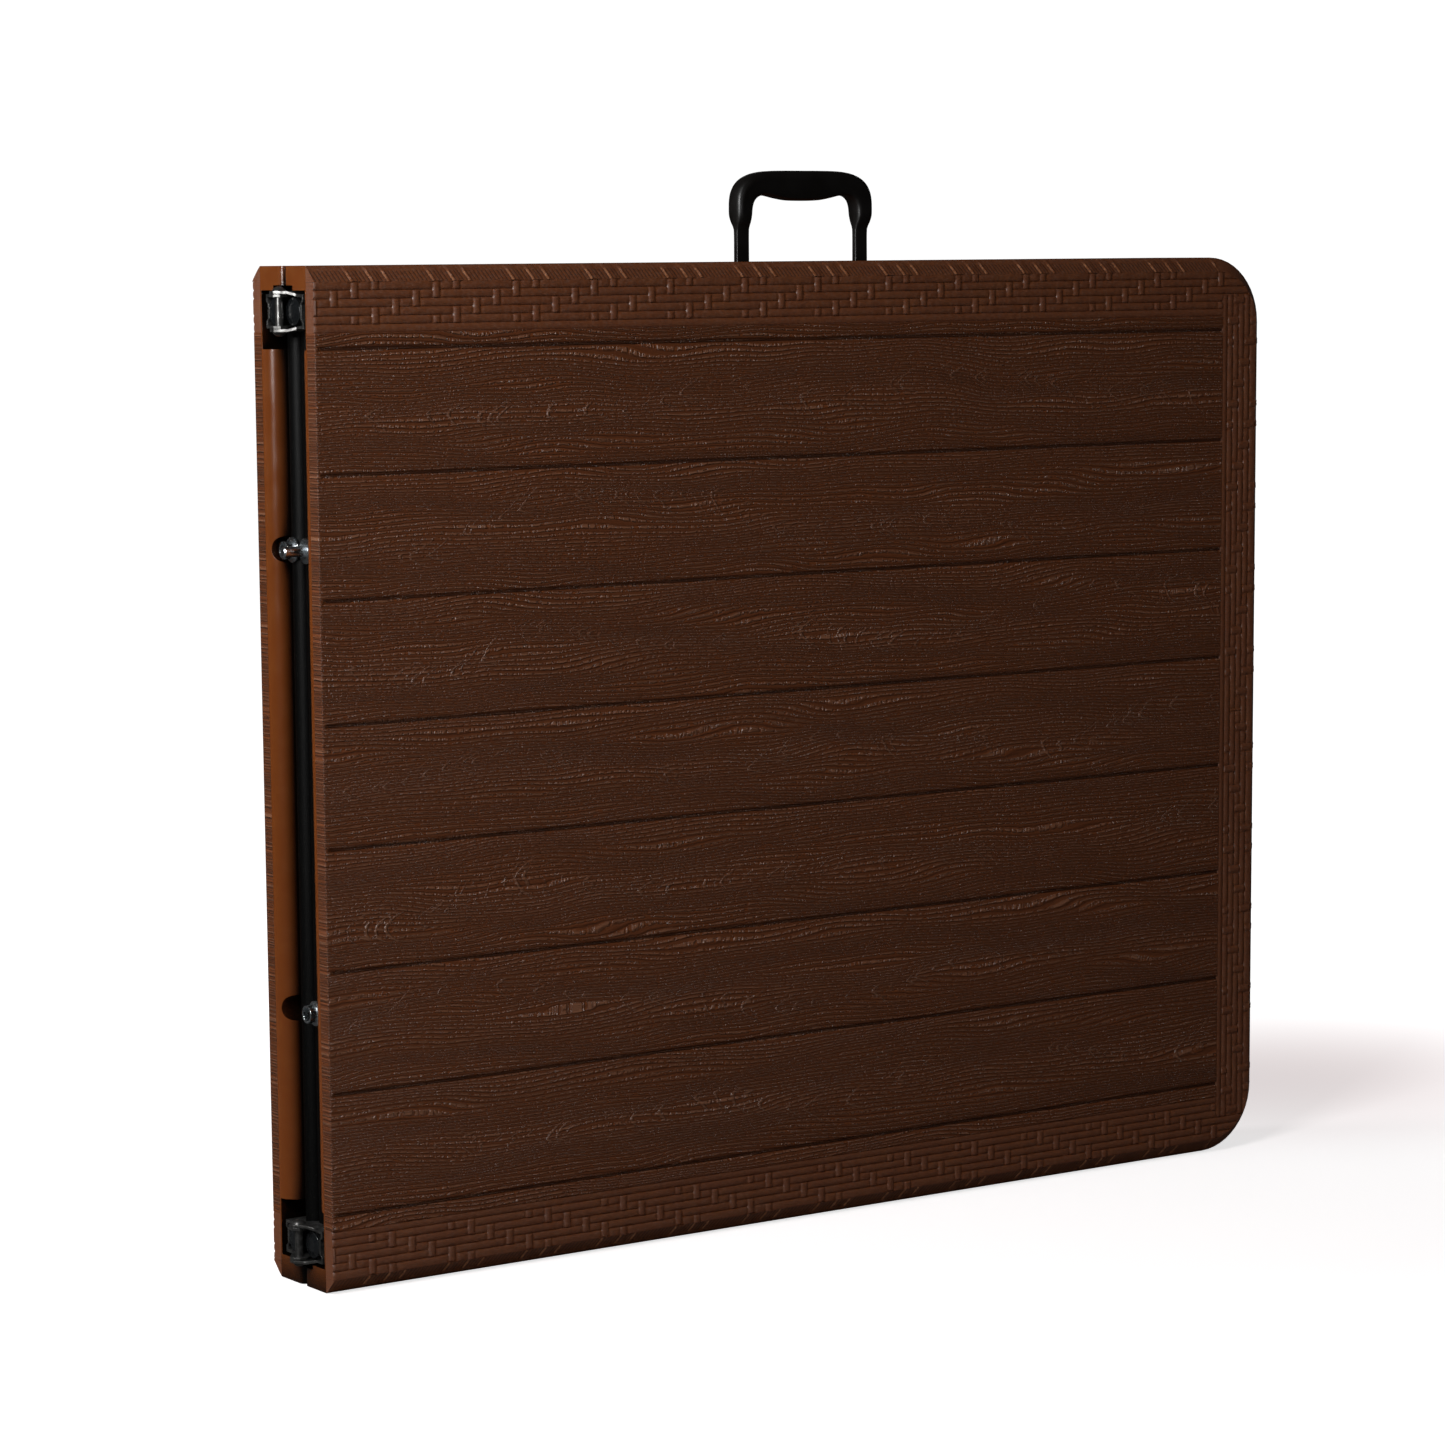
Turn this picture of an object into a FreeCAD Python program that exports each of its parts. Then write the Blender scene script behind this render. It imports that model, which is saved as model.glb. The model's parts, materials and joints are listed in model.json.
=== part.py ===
"""Folding table in two halves, folded flat and standing on a long edge.

Each half is a blow-moulded top with a steel frame under it and a leg frame that folds into
it. The two halves turn on a pair of riveted hinges at the fold end, and a carry handle
stands up from the top edge of the front half.

Every sub-part is modelled in the frame of the front half: x from the fold end, y from the
seam between the halves (the tabletop faces -y) and z up from the floor. Its placement then
centres the table on the origin, and for the back half turns it over about a line along x.
"""
import math
import os

import FreeCAD, Part
import Sketcher
from FreeCAD import Placement, Rotation, Vector

doc = FreeCAD.newDocument("folding_table")
sheet = doc.addObject("Spreadsheet::Sheet", "Sizes")

DRIVING_SIZES = [
    ("half_length", 905, "one half of the table, from the fold end to the outer end"),
    ("table_width", 750, "long edge to long edge"),
    ("folded_thickness", 90, "tabletop face to tabletop face, folded"),
    ("open_height", 740, "floor to tabletop, open"),
    ("seam_gap", 2, "between the two rims, folded"),
    ("rim_width", 18, "skirt round the long edges and the outer end"),
    ("corner_radius", 53, "outer corners seen from above"),
    ("cavity_corner_radius", 30, "outer corners of the skirt's inside"),
    ("bevel", 11.5, "slope round the tabletop's three outer edges"),
    ("lip_length", 18, "lip across the fold end, along the table"),
    ("lip_height", 6, "lip above the underside of the deck"),
    ("lip_round", 14, "rounded inner edge of the lip"),
    ("seam_round", 5, "rounded edge of the rims at the seam, at the fold end"),
    ("band_width", 36.5, "woven border of the tabletop, along the long edges"),
    ("end_band_width", 36.5, "woven border of the tabletop, along the outer end"),
    ("strip_width", 11.2, "plain strip between the border and the first groove"),
    ("plank_count", 7, "planks across the tabletop"),
    ("groove_width", 3, "groove between two planks"),
    ("groove_depth", 1.2, "groove between two planks"),
    ("groove_start", 4.5, "first end of the grooves, from the fold end"),
    ("hinge_inset", 32.5, "hinge centre and frame rail, from the long edge"),
    ("hinge_axis_out", 3.2, "hinge pin's axis beyond the fold end"),
    ("hinge_pin_radius", 3, "hinge pin"),
    ("hinge_ear_radius", 6.5, "end of the hinge plates round the pin"),
    ("hinge_plate", 2, "hinge plate's steel"),
    ("hinge_plate_length", 40, "hinge plates over the rail"),
    ("hinge_pocket_behind", 10, "pocket beyond the hinge plates, along the table"),
    ("hinge_clearance", 0.4, "between the hinge's ears and their pocket"),
    ("hinge_pocket_room", 12.9, "pocket beyond the hinge's ears, towards mid-width"),
    ("hinge_web_room", 5, "between the hinge and the floor of its pocket"),
    ("pin_head_rise", 3.6, "hollow beyond the ears for the hinge pin's head"),
    ("rivet_relief_length", 16, "hollow for the hinge's rivets, along the table"),
    ("rivet_relief_depth", 13, "hollow for the hinge's rivets, from the seam"),
    ("rail_radius", 10, "frame tubes"),
    ("tube_wall", 1.4, "wall of every tube"),
    ("rail_room", 2.5, "free on both sides of the rails, to the seam and to the deck"),
    ("leg_room", 1.5, "free on both sides of the folded legs, to the seam and to the deck"),
    ("rail_start", 2, "first end of the rails, from the fold end"),
    ("rail_end_margin", 42, "rail's other end, from the outer end"),
    ("end_tube_radius", 8.7, "tube across the fold end"),
    ("end_tube_clearance", 0.3, "between the end tube and the lip"),
    ("end_tube_in", 18.5, "axis of the end tube, from the fold end"),
    ("dowel_spacing", 170, "dowel and guide bush, from mid-width"),
    ("dowel_radius", 4, "alignment dowel"),
    ("dowel_reach", 10.5, "dowel's tip beyond the fold end"),
    ("bush_radius", 6.6, "guide bush outside"),
    ("bush_bore", 5.2, "guide bush inside, radius"),
    ("bush_mouth", 1.5, "guide bush's mouth, in from the fold end"),
    ("flange_radius", 9.2, "round flange under the dowel and the bush"),
    ("flange_thickness", 1.5, "round flange under the dowel and the bush"),
    ("notch_radius", 10, "round notch in the lip at each dowel and bush"),
    ("pivot_in", 38, "leg pivot, from the outer end"),
    ("pivot_radius", 9, "leg pivot tube"),
    ("pivot_clearance", 0.1, "round the ends of the pivot tube"),
    ("leg_radius", 11, "upper leg tube"),
    ("foot_tube_clearance", 0.2, "between the lower leg tube and the upper one"),
    ("leg_beside_rail", 8.5, "between a half's first leg and its rail"),
    ("leg_beside_leg", 11, "between two legs that nest side by side, folded"),
    ("leg_folded", 612, "pivot to foot with the lower tubes pushed in"),
    ("upper_leg_length", 520, "upper leg tube from the pivot"),
    ("foot_tube_length", 235, "lower leg tube"),
    ("cap_wall", 2.6, "foot cap round its tube"),
    ("cap_length", 30, "foot cap"),
    ("cap_floor", 6, "foot cap under the tube"),
    ("crossbar_from_pivot", 300, "leg crossbar"),
    ("crossbar_radius", 8, "leg crossbar"),
    ("anchor_from_pivot", 420, "brace anchor under the deck"),
    ("brace_offset", 45, "braces from mid-width"),
    ("brace_bar_half", 4.5, "half the brace bar's width and depth"),
    ("link_plate", 3, "side plates of the brace link"),
    ("link_half_depth", 8, "half the depth of the link's side plates"),
    ("side_gap", 1, "between brace, link and anchor plates"),
    ("handle_from_fold", 442, "middle of the handle, from the fold end"),
    ("handle_width", 128, "carry handle, outside"),
    ("handle_rise", 69, "carry handle above the top edge"),
    ("handle_shoulder", 26, "handle's shoulders above the top edge"),
    ("handle_depth", 18, "grip, front to back"),
    ("grip_height", 23, "grip bar, top to bottom"),
    ("handle_behind_rail", 0.5, "between the frame rail and the handle's straps"),
    ("handle_arm", 14.5, "handle's arms under the grip, across"),
    ("strap_width", 11.5, "handle straps, across"),
    ("strap_thickness", 6, "handle straps, front to back"),
    ("strap_clearance", 0.4, "round the straps and their stops"),
    ("handle_travel", 25, "how far the handle pushes down"),
    ("screw_radius", 2.2, "frame screws"),
    ("screw_head_radius", 4, "frame screws' heads"),
]


class Size:
    """A length worked out from the sheet: its value now, and the formula that gives it."""

    def __init__(self, value, formula):
        self.value = value
        self.formula = formula

    def __add__(self, other):
        other = as_size(other)
        return Size(self.value + other.value, f"({self.formula} + {other.formula})")

    def __sub__(self, other):
        other = as_size(other)
        return Size(self.value - other.value, f"({self.formula} - {other.formula})")

    def __mul__(self, other):
        other = as_size(other)
        return Size(self.value * other.value, f"({self.formula} * {other.formula})")

    def __truediv__(self, other):
        other = as_size(other)
        return Size(self.value / other.value, f"({self.formula} / {other.formula})")

    def __neg__(self):
        return Size(-self.value, f"(-1 * {self.formula})")

    def __radd__(self, other):
        return as_size(other) + self

    def __rsub__(self, other):
        return as_size(other) - self

    def __rmul__(self, other):
        return as_size(other) * self


def as_size(number):
    """The number as a Size, which may be negative."""
    if isinstance(number, Size):
        return number
    return Size(number, f"({number})")


def hypotenuse(first, second):
    """The long side of a right-angled triangle."""
    value = (first.value ** 2 + second.value ** 2) ** 0.5
    return Size(value, f"sqrt({first.formula}^2 + {second.formula}^2)")


def larger(first, second):
    """Whichever of two sizes is the larger."""
    value = max(first.value, second.value)
    return Size(value, f"max({first.formula}; {second.formula})")


def read_sizes():
    """Writes the driving sizes into the sheet and returns each by its name."""
    sizes = {}
    for row, (name, number, meaning) in enumerate(DRIVING_SIZES, start=1):
        sheet.set(f"A{row}", name)
        sheet.set(f"B{row}", str(number))
        sheet.set(f"C{row}", meaning)
        sheet.setAlias(f"B{row}", name)
        sizes[name] = Size(number, f"Sizes.{name}")
    doc.recompute()
    return sizes


S = read_sizes()

# Places that several sub-parts share, in the front half's frame.
LENGTH = S["half_length"]
WIDTH = S["table_width"]
MID_WIDTH = WIDTH / 2
FACE = S["folded_thickness"] / 2
RIM_FACE = S["seam_gap"] / 2
HALF_ROOM = larger(S["rail_radius"] + S["rail_room"], S["leg_radius"] + S["leg_room"])
AXIS_DEPTH = HALF_ROOM
DECK_FACE = HALF_ROOM * 2
LIP_FACE = DECK_FACE - S["lip_height"]
END_TUBE_DEPTH = LIP_FACE - S["end_tube_radius"] - S["end_tube_clearance"]
HINGE_LOW = S["hinge_inset"]
HINGE_HIGH = WIDTH - S["hinge_inset"]
DOWEL_HEIGHT = MID_WIDTH + S["dowel_spacing"]
BUSH_HEIGHT = MID_WIDTH - S["dowel_spacing"]
RAIL_END = LENGTH - S["rail_end_margin"]
PIVOT_X = LENGTH - S["pivot_in"]
LEG_LOW = S["hinge_inset"] + S["rail_radius"] + S["leg_beside_rail"] + S["leg_radius"]
LEG_HIGH = WIDTH - LEG_LOW - S["leg_radius"] * 2 - S["leg_beside_leg"]
FOOT_TUBE_RADIUS = S["leg_radius"] - S["tube_wall"] - S["foot_tube_clearance"]
CAP_RADIUS = FOOT_TUBE_RADIUS + S["cap_wall"]
CROSSBAR_X = PIVOT_X - S["crossbar_from_pivot"]
ANCHOR_X = PIVOT_X - S["anchor_from_pivot"]
BRACE_HEIGHT = MID_WIDTH + S["brace_offset"]
HANDLE_X = S["handle_from_fold"]
HANDLE_SETBACK = (AXIS_DEPTH + S["rail_radius"] + S["handle_behind_rail"]
                  + S["strap_thickness"] / 2)
STRAP_INSET = 2
STRAP_OFFSET = S["handle_width"] / 2 - S["strap_width"] / 2 - STRAP_INSET
STOP_HEIGHT = as_size(8)
STOP_SHOULDER = 3
STOP_HALF_WIDTH = S["strap_width"] / 2 + STOP_SHOULDER

# The hinge brackets: a channel over the rail, and the other half's ears outside it.
HINGE_FIT = as_size(0.3)
HINGE_INSIDE = S["rail_radius"] + HINGE_FIT
HINGE_OUTSIDE = HINGE_INSIDE + S["hinge_plate"]
EAR_INSIDE = HINGE_OUTSIDE + HINGE_FIT
EAR_OUTSIDE = EAR_INSIDE + S["hinge_plate"]
WEB_GAP = 2.5
HINGE_WEB = AXIS_DEPTH + S["rail_radius"] + WEB_GAP + S["hinge_plate"]
THROUGH_HINGE = EAR_OUTSIDE * 2 + 8
FLANGE_X = S["end_tube_in"] - S["end_tube_radius"]

# The leg pivot and its bearing plates.
PIVOT_START = HINGE_LOW + S["rail_radius"] + 0.8
PIVOT_LENGTH = WIDTH - 2 * PIVOT_START
EAR_THICKNESS = as_size(4)
EAR_OVERHANG = 0.4

# Brace and link lie in line, folded over each other when shut and stretched out when open.
OPEN_SPAN = hypotenuse(S["crossbar_from_pivot"], S["anchor_from_pivot"])
PIVOT_SPAN = S["anchor_from_pivot"] - S["crossbar_from_pivot"]
LINK_LENGTH = (OPEN_SPAN - PIVOT_SPAN) / 2
BRACE_LENGTH = (OPEN_SPAN + PIVOT_SPAN) / 2
KNEE_X = ANCHOR_X - LINK_LENGTH
LINK_INSIDE = S["brace_bar_half"] + S["side_gap"]
LINK_OUTSIDE = LINK_INSIDE + S["link_plate"]
ANCHOR_INSIDE = LINK_OUTSIDE + S["side_gap"]
ANCHOR_OUTSIDE = ANCHOR_INSIDE + S["link_plate"]
RIVET_RADIUS = as_size(3)
RIVET_HEAD = as_size(1.5)
RIVET_HEAD_RATIO = 1.9

# Frame screws: one close behind the hinge, one near the rail's end, two between.
SCREW_PLACES = [S["hinge_plate_length"] + 30, LENGTH * 0.35, LENGTH * 0.6, RAIL_END - 60]
SCREW_LENGTH = as_size(34)
SCREW_HEAD = as_size(1.4)

# Tools that cut a face start this far outside it.
OVERCUT = 1
SKIM = 0.5

# The handle's outline, from the middle of the grip down one side. The outside is measured in
# from the widest place and down from the top; the last two corners are up from the shoulder.
# The inside is measured in from the arm and up from the underside of the grip.
GRIP_FLAT_TOP = 18
GRIP_FLAT_UNDERSIDE = 14
HANDLE_OUTSIDE = [(26, 1), (13.6, 4.2), (5, 10.3), (1.5, 16), (0.3, 21)]
HANDLE_OUTSIDE_LOW = [(0, 15), (0.2, 9), (1.8, 0)]
HANDLE_INSIDE = [(12, 4), (6, 3.5), (3, 0.7), (0, -5)]
HANDLE_INSIDE_LOW = [(0.7, 9), (1, 0)]
GRIP_ROUND = 3.5
STRAP_OVERLAP = 6

ALONG_X = Rotation(Vector(0, 1, 0), 90)
ALONG_Y = Rotation(Vector(1, 0, 0), -90)
ALONG_Z = Rotation()

nodes = []


# ---------------------------------------------------------------- document helpers

def bind(thing, **sizes):
    """Sets properties of an object and ties each to its formula in the sheet."""
    for name, size in sizes.items():
        size = as_size(size)
        setattr(thing, name, size.value)
        thing.setExpression(name, size.formula)


def bind_base(thing, x, y, z):
    """Ties the three coordinates of an object's placement to the sheet."""
    base = [as_size(x), as_size(y), as_size(z)]
    thing.Placement.Base = Vector(*[size.value for size in base])
    for axis, size in zip("xyz", base):
        thing.setExpression(f"Placement.Base.{axis}", size.formula)


def cylinder(name, x, y, z, rotation, radius, length):
    """A solid cylinder that starts at a point and runs along one axis."""
    solid = doc.addObject("Part::Cylinder", name)
    solid.Placement = Placement(Vector(), rotation)
    bind(solid, Radius=radius, Height=length)
    bind_base(solid, x, y, z)
    return solid


def box(name, x, y, z, length, width, height):
    """A box from its lowest corner."""
    solid = doc.addObject("Part::Box", name)
    bind(solid, Length=length, Width=width, Height=height)
    bind_base(solid, x, y, z)
    return solid


def cut(name, base, tools):
    """The base less all the tools."""
    for index, tool in enumerate(tools):
        result = doc.addObject("Part::Cut", f"{name}_cut{index}")
        result.Base = base
        result.Tool = tool
        base = result
    return base


def fuse(name, solids):
    """All the solids joined into one."""
    result = doc.addObject("Part::MultiFuse", name)
    result.Shapes = solids
    result.Refine = True
    return result


def group(name, solids):
    """Separate solids kept together in one node."""
    result = doc.addObject("Part::Compound", name)
    result.Links = solids
    return result


def tube(name, x, y, z, rotation, radius, length, wall=None):
    """A round tube that starts at a point and runs along one axis."""
    wall = wall or S["tube_wall"]
    outside = cylinder(f"{name}_outside", x, y, z, rotation, radius, length)
    inside = cylinder(f"{name}_inside", x, y, z, rotation, radius - wall, length)
    return cut(name, outside, [inside])


def add_node(label, solid, flipped):
    """Names a finished sub-part and puts it in its half of the table."""
    shift = (S["dowel_reach"] - LENGTH) / 2
    if flipped:
        solid.Placement = Placement(Vector(), Rotation(Vector(1, 0, 0), 180))
        bind_base(solid, shift, 0, WIDTH)
    else:
        bind_base(solid, shift, 0, 0)
    solid.Label = label
    nodes.append(solid)
    return solid


def origin_plane(body, role):
    """One of the three planes of a body's own origin."""
    return [plane for plane in body.Origin.OriginFeatures if plane.Role == role][0]


def outline(body, name, role, offset, corner_lists):
    """A sketch on a body's own plane: one closed polygon for each list of corners."""
    sketch = body.newObject("Sketcher::SketchObject", name)
    sketch.AttachmentSupport = [(origin_plane(body, role), "")]
    sketch.MapMode = "FlatFace"
    offset = as_size(offset)
    sketch.AttachmentOffset = Placement(Vector(0, 0, offset.value), Rotation())
    sketch.setExpression("AttachmentOffset.Base.z", offset.formula)
    for corners in corner_lists:
        corners = [(as_size(across), as_size(up)) for across, up in corners]
        points = [Vector(across.value, up.value, 0) for across, up in corners]
        first = sketch.GeometryCount
        for index, point in enumerate(points):
            following = points[(index + 1) % len(points)]
            sketch.addGeometry(Part.LineSegment(point, following), False)
        for index, (across, up) in enumerate(corners):
            line = first + index
            next_line = first + (index + 1) % len(corners)
            sketch.addConstraint(Sketcher.Constraint("Coincident", line, 2, next_line, 1))
            for kind, size in (("DistanceX", across), ("DistanceY", up)):
                number = sketch.addConstraint(Sketcher.Constraint(kind, -1, 1, line, 1, size.value))
                sketch.setExpression(f"Constraints[{number}]", size.formula)
    return sketch


def add_circle(sketch, across, up, radius):
    """A circle in a sketch, its centre and radius tied to the sheet."""
    across, up, radius = as_size(across), as_size(up), as_size(radius)
    centre = Vector(across.value, up.value, 0)
    circle = sketch.addGeometry(Part.Circle(centre, Vector(0, 0, 1), radius.value), False)
    for kind, size in (("DistanceX", across), ("DistanceY", up)):
        number = sketch.addConstraint(Sketcher.Constraint(kind, -1, 1, circle, 3, size.value))
        sketch.setExpression(f"Constraints[{number}]", size.formula)
    number = sketch.addConstraint(Sketcher.Constraint("Radius", circle, radius.value))
    sketch.setExpression(f"Constraints[{number}]", radius.formula)


def rectangle(low_x, low_y, high_x, high_y):
    """The four corners of a rectangle."""
    return [(low_x, low_y), (high_x, low_y), (high_x, high_y), (low_x, high_y)]


def add_feature(body, kind, name, sketch, length, reverse=False, midplane=False):
    """A pad or a pocket of a sketch, checked to have changed the solid."""
    doc.recompute()
    before = body.Shape.Volume if body.Tip else 0
    feature = body.newObject(f"PartDesign::{kind}", name)
    feature.Profile = sketch
    feature.Reversed = reverse
    feature.Midplane = midplane
    bind(feature, Length=length)
    doc.recompute()
    change = body.Shape.Volume - before
    wanted = 1 if kind == "Pad" else -1
    if change * wanted <= 0:
        raise RuntimeError(f"{body.Name} {name} changed nothing")
    return feature


def dress(body, kind, name, size, chosen):
    """A fillet or chamfer on the edges that a test picks."""
    doc.recompute()
    edges = [f"Edge{number}" for number, edge in enumerate(body.Shape.Edges, start=1) if chosen(edge)]
    if not edges:
        raise RuntimeError(f"{body.Name} {name} found no edge")
    before = body.Shape.Volume
    base = body.Tip
    feature = body.newObject(f"PartDesign::{kind}", name)
    feature.Base = (base, edges)
    bind(feature, **{"Radius" if kind == "Fillet" else "Size": size})
    doc.recompute()
    if body.Shape.Volume == before:
        raise RuntimeError(f"{body.Name} {name} changed nothing")
    return feature


def runs_along(edge, axis):
    """Whether an edge is a straight line along x, y or z."""
    box_size = edge.BoundBox
    spans = {"x": box_size.XLength, "y": box_size.YLength, "z": box_size.ZLength}
    others = [span for name, span in spans.items() if name != axis]
    return spans[axis] > 0.5 and max(others) < 0.01


def near(value, size, within=0.01):
    """Whether a coordinate is at a size."""
    return abs(value - as_size(size).value) < within


# ---------------------------------------------------------------- the moulded top

def plank_grooves(body):
    """The grooves between the planks, all alike, from one long edge to the other."""
    first = S["bevel"] + S["band_width"] + S["strip_width"]
    last = WIDTH - first
    end = LENGTH - S["bevel"] - S["end_band_width"]
    half = S["groove_width"] / 2
    sketch = outline(body, "groove_outline", "XZ_Plane", FACE,
                     [rectangle(S["groove_start"], first - half, end, first + half)])
    groove = add_feature(body, "Pocket", "groove", sketch, S["groove_depth"])
    pattern = body.newObject("PartDesign::LinearPattern", "grooves")
    pattern.Originals = [groove]
    pattern.Direction = (sketch, ["V_Axis"])
    bind(pattern, Length=last - first)
    pattern.Occurrences = int(S["plank_count"].value) + 1
    body.Tip = pattern
    doc.recompute()
    return pattern


def make_top(label, flipped, with_handle):
    """One half's blow-moulded top: deck, skirt, fold-end lip, bevel and plank grooves."""
    body = doc.addObject("PartDesign::Body", label + "_body")
    rim = S["rim_width"]
    lip = S["lip_length"]
    inner_low = rim
    inner_high = WIDTH - rim
    sketch = outline(body, "slab_outline", "XZ_Plane", FACE, [rectangle(0, 0, LENGTH, WIDTH)])
    add_feature(body, "Pad", "slab", sketch, FACE - RIM_FACE, reverse=True)
    dress(body, "Fillet", "outer_corners", S["corner_radius"],
          lambda edge: runs_along(edge, "y") and near(edge.BoundBox.XMin, LENGTH))
    dress(body, "Chamfer", "tabletop_bevel", S["bevel"],
          lambda edge: near(edge.BoundBox.YMin, -FACE) and near(edge.BoundBox.YMax, -FACE)
          and edge.BoundBox.XMax > OVERCUT)
    sketch = outline(body, "cavity_outline", "XZ_Plane", RIM_FACE,
                     [rectangle(lip, inner_low, LENGTH - rim, inner_high)])
    add_feature(body, "Pocket", "cavity", sketch, DECK_FACE - RIM_FACE, reverse=True)
    dress(body, "Fillet", "cavity_corners", S["cavity_corner_radius"],
          lambda edge: runs_along(edge, "y") and near(edge.BoundBox.XMin, LENGTH - rim))
    low = HINGE_LOW - EAR_OUTSIDE - S["hinge_clearance"]
    high = HINGE_LOW + EAR_OUTSIDE + S["hinge_pocket_room"]
    sketch = outline(body, "fold_end_outline", "XZ_Plane", RIM_FACE,
                     [rectangle(-OVERCUT, low, lip + OVERCUT, WIDTH - low)])
    add_feature(body, "Pocket", "fold_end_opening", sketch, LIP_FACE - RIM_FACE, reverse=True)
    dress(body, "Fillet", "lip_edge", S["lip_round"],
          lambda edge: runs_along(edge, "z") and near(edge.BoundBox.XMin, 0)
          and near(edge.BoundBox.YMin, -LIP_FACE))
    pocket_end = S["hinge_plate_length"] + S["hinge_pocket_behind"]
    sketch = outline(body, "hinge_pocket_outline", "XZ_Plane", RIM_FACE,
                     [rectangle(-OVERCUT, low, pocket_end, high),
                      rectangle(-OVERCUT, WIDTH - high, pocket_end, WIDTH - low)])
    pocket_depth = HINGE_WEB + S["hinge_web_room"] - RIM_FACE
    add_feature(body, "Pocket", "hinge_pockets", sketch, pocket_depth, reverse=True)
    low = HINGE_LOW - EAR_OUTSIDE - S["pin_head_rise"] - S["hinge_clearance"]
    high = low + S["rivet_relief_length"]
    sketch = outline(body, "rivet_relief_outline", "XZ_Plane", RIM_FACE,
                     [rectangle(-OVERCUT, low, S["rivet_relief_length"], high),
                      rectangle(-OVERCUT, WIDTH - high, S["rivet_relief_length"], WIDTH - low)])
    add_feature(body, "Pocket", "rivet_reliefs", sketch, S["rivet_relief_depth"], reverse=True)
    make_notches(body)
    dress(body, "Fillet", "seam_edge", S["seam_round"],
          lambda edge: runs_along(edge, "z") and near(edge.BoundBox.XMin, 0)
          and near(edge.BoundBox.YMin, -RIM_FACE))
    plank_grooves(body)
    if with_handle:
        make_handle_slots(body)
    make_screw_pilots(body)
    return add_node(label, body, flipped)


def make_notches(body):
    """Round notches in the lip that leave room for the dowel and the bush."""
    notch_inset = 2
    sketch = outline(body, "notch_outline", "YZ_Plane", 0, [])
    for height in (DOWEL_HEIGHT, BUSH_HEIGHT):
        add_circle(sketch, notch_inset - LIP_FACE, height, S["notch_radius"])
    add_feature(body, "Pocket", "lip_notches", sketch, S["lip_length"], reverse=True)


def make_handle_slots(body):
    """Slots in the upper rim for the handle's straps, and room below for their stops."""
    gap = S["strap_clearance"]
    half_width = S["strap_width"] / 2 + gap
    half_depth = S["strap_thickness"] / 2 + gap
    middle = -HANDLE_SETBACK
    slots = []
    for side in (-1, 1):
        centre = HANDLE_X + side * STRAP_OFFSET
        slots.append(rectangle(centre - half_width, middle - half_depth,
                               centre + half_width, middle + half_depth))
    sketch = outline(body, "strap_slot_outline", "XY_Plane", WIDTH, slots)
    add_feature(body, "Pocket", "strap_slots", sketch, S["rim_width"])
    spare_depth = 3
    reach = S["rim_width"] + S["handle_travel"] + STOP_HEIGHT + spare_depth
    wells = []
    for side in (-1, 1):
        centre = HANDLE_X + side * STRAP_OFFSET
        wells.append(rectangle(centre - STOP_HALF_WIDTH - gap, WIDTH - reach,
                               centre + STOP_HALF_WIDTH + gap, WIDTH - S["rim_width"]))
    sketch = outline(body, "stop_well_outline", "XZ_Plane", DECK_FACE - SKIM, wells)
    depth = HANDLE_SETBACK + half_depth - DECK_FACE + SKIM
    add_feature(body, "Pocket", "stop_wells", sketch, depth, reverse=True)


def make_screw_pilots(body):
    """Pilot holes in the deck for the screws that hold the rails."""
    offset = DECK_FACE - SKIM
    sketch = outline(body, "pilot_outline", "XZ_Plane", offset, [])
    for height in (HINGE_LOW, HINGE_HIGH):
        for place in SCREW_PLACES:
            add_circle(sketch, place, height, S["screw_radius"])
    head_seat = AXIS_DEPTH - S["rail_radius"]
    depth = head_seat + SCREW_LENGTH - offset
    add_feature(body, "Pocket", "screw_pilots", sketch, depth, reverse=True)


# ---------------------------------------------------------------- the steel frame

def make_rails(half, flipped):
    """The two long rails, drilled for their screws."""
    length = RAIL_END - S["rail_start"]
    for name, height in (("lower", HINGE_LOW), ("upper", HINGE_HIGH)):
        label = f"{half}_rail_{name}"
        rail = tube(label, S["rail_start"], -AXIS_DEPTH, height, ALONG_X, S["rail_radius"], length)
        holes = []
        for place in SCREW_PLACES:
            holes.append(cylinder(f"{label}_hole", place, -FACE, height, ALONG_Y,
                                  S["screw_radius"], FACE))
        add_node(label, cut(f"{label}_drilled", rail, holes), flipped)


def make_rail_plugs(half, flipped):
    """Domed plastic plugs in the four rail ends."""
    flange = as_size(1)
    insert = as_size(12)
    dome = as_size(2.2)
    dome_edge = 1.5
    bore = S["rail_radius"] - S["tube_wall"]
    plugs = []
    for height in (HINGE_LOW, HINGE_HIGH):
        for end, direction in ((S["rail_start"], -1), (RAIL_END, 1)):
            stem_start = end if direction < 0 else end - insert
            flange_start = end - flange if direction < 0 else end
            stem = cylinder("plug_stem", stem_start, -AXIS_DEPTH, height, ALONG_X, bore, insert)
            rim = cylinder("plug_rim", flange_start, -AXIS_DEPTH, height, ALONG_X,
                           S["rail_radius"], flange)
            cap = doc.addObject("Part::Cone", "plug_cap")
            cap.Placement = Placement(Vector(), Rotation(Vector(0, 1, 0), 90 * direction))
            bind(cap, Radius1=S["rail_radius"] - dome_edge, Radius2=S["rail_radius"] / 2,
                 Height=dome - flange)
            bind_base(cap, end + direction * flange, -AXIS_DEPTH, height)
            plugs.append(fuse("plug", [stem, rim, cap]))
    add_node(f"{half}_rail_plugs", group(f"{half}_plugs", plugs), flipped)


def make_end_tube(half, flipped):
    """The tube across the fold end, between the hinge plates."""
    start = HINGE_LOW + (HINGE_OUTSIDE if flipped else EAR_OUTSIDE)
    length = WIDTH - 2 * start
    across = tube(f"{half}_end_tube", S["end_tube_in"], -END_TUBE_DEPTH, start, ALONG_Z,
                  S["end_tube_radius"], length)
    add_node(f"{half}_end_tube", across, flipped)


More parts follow.
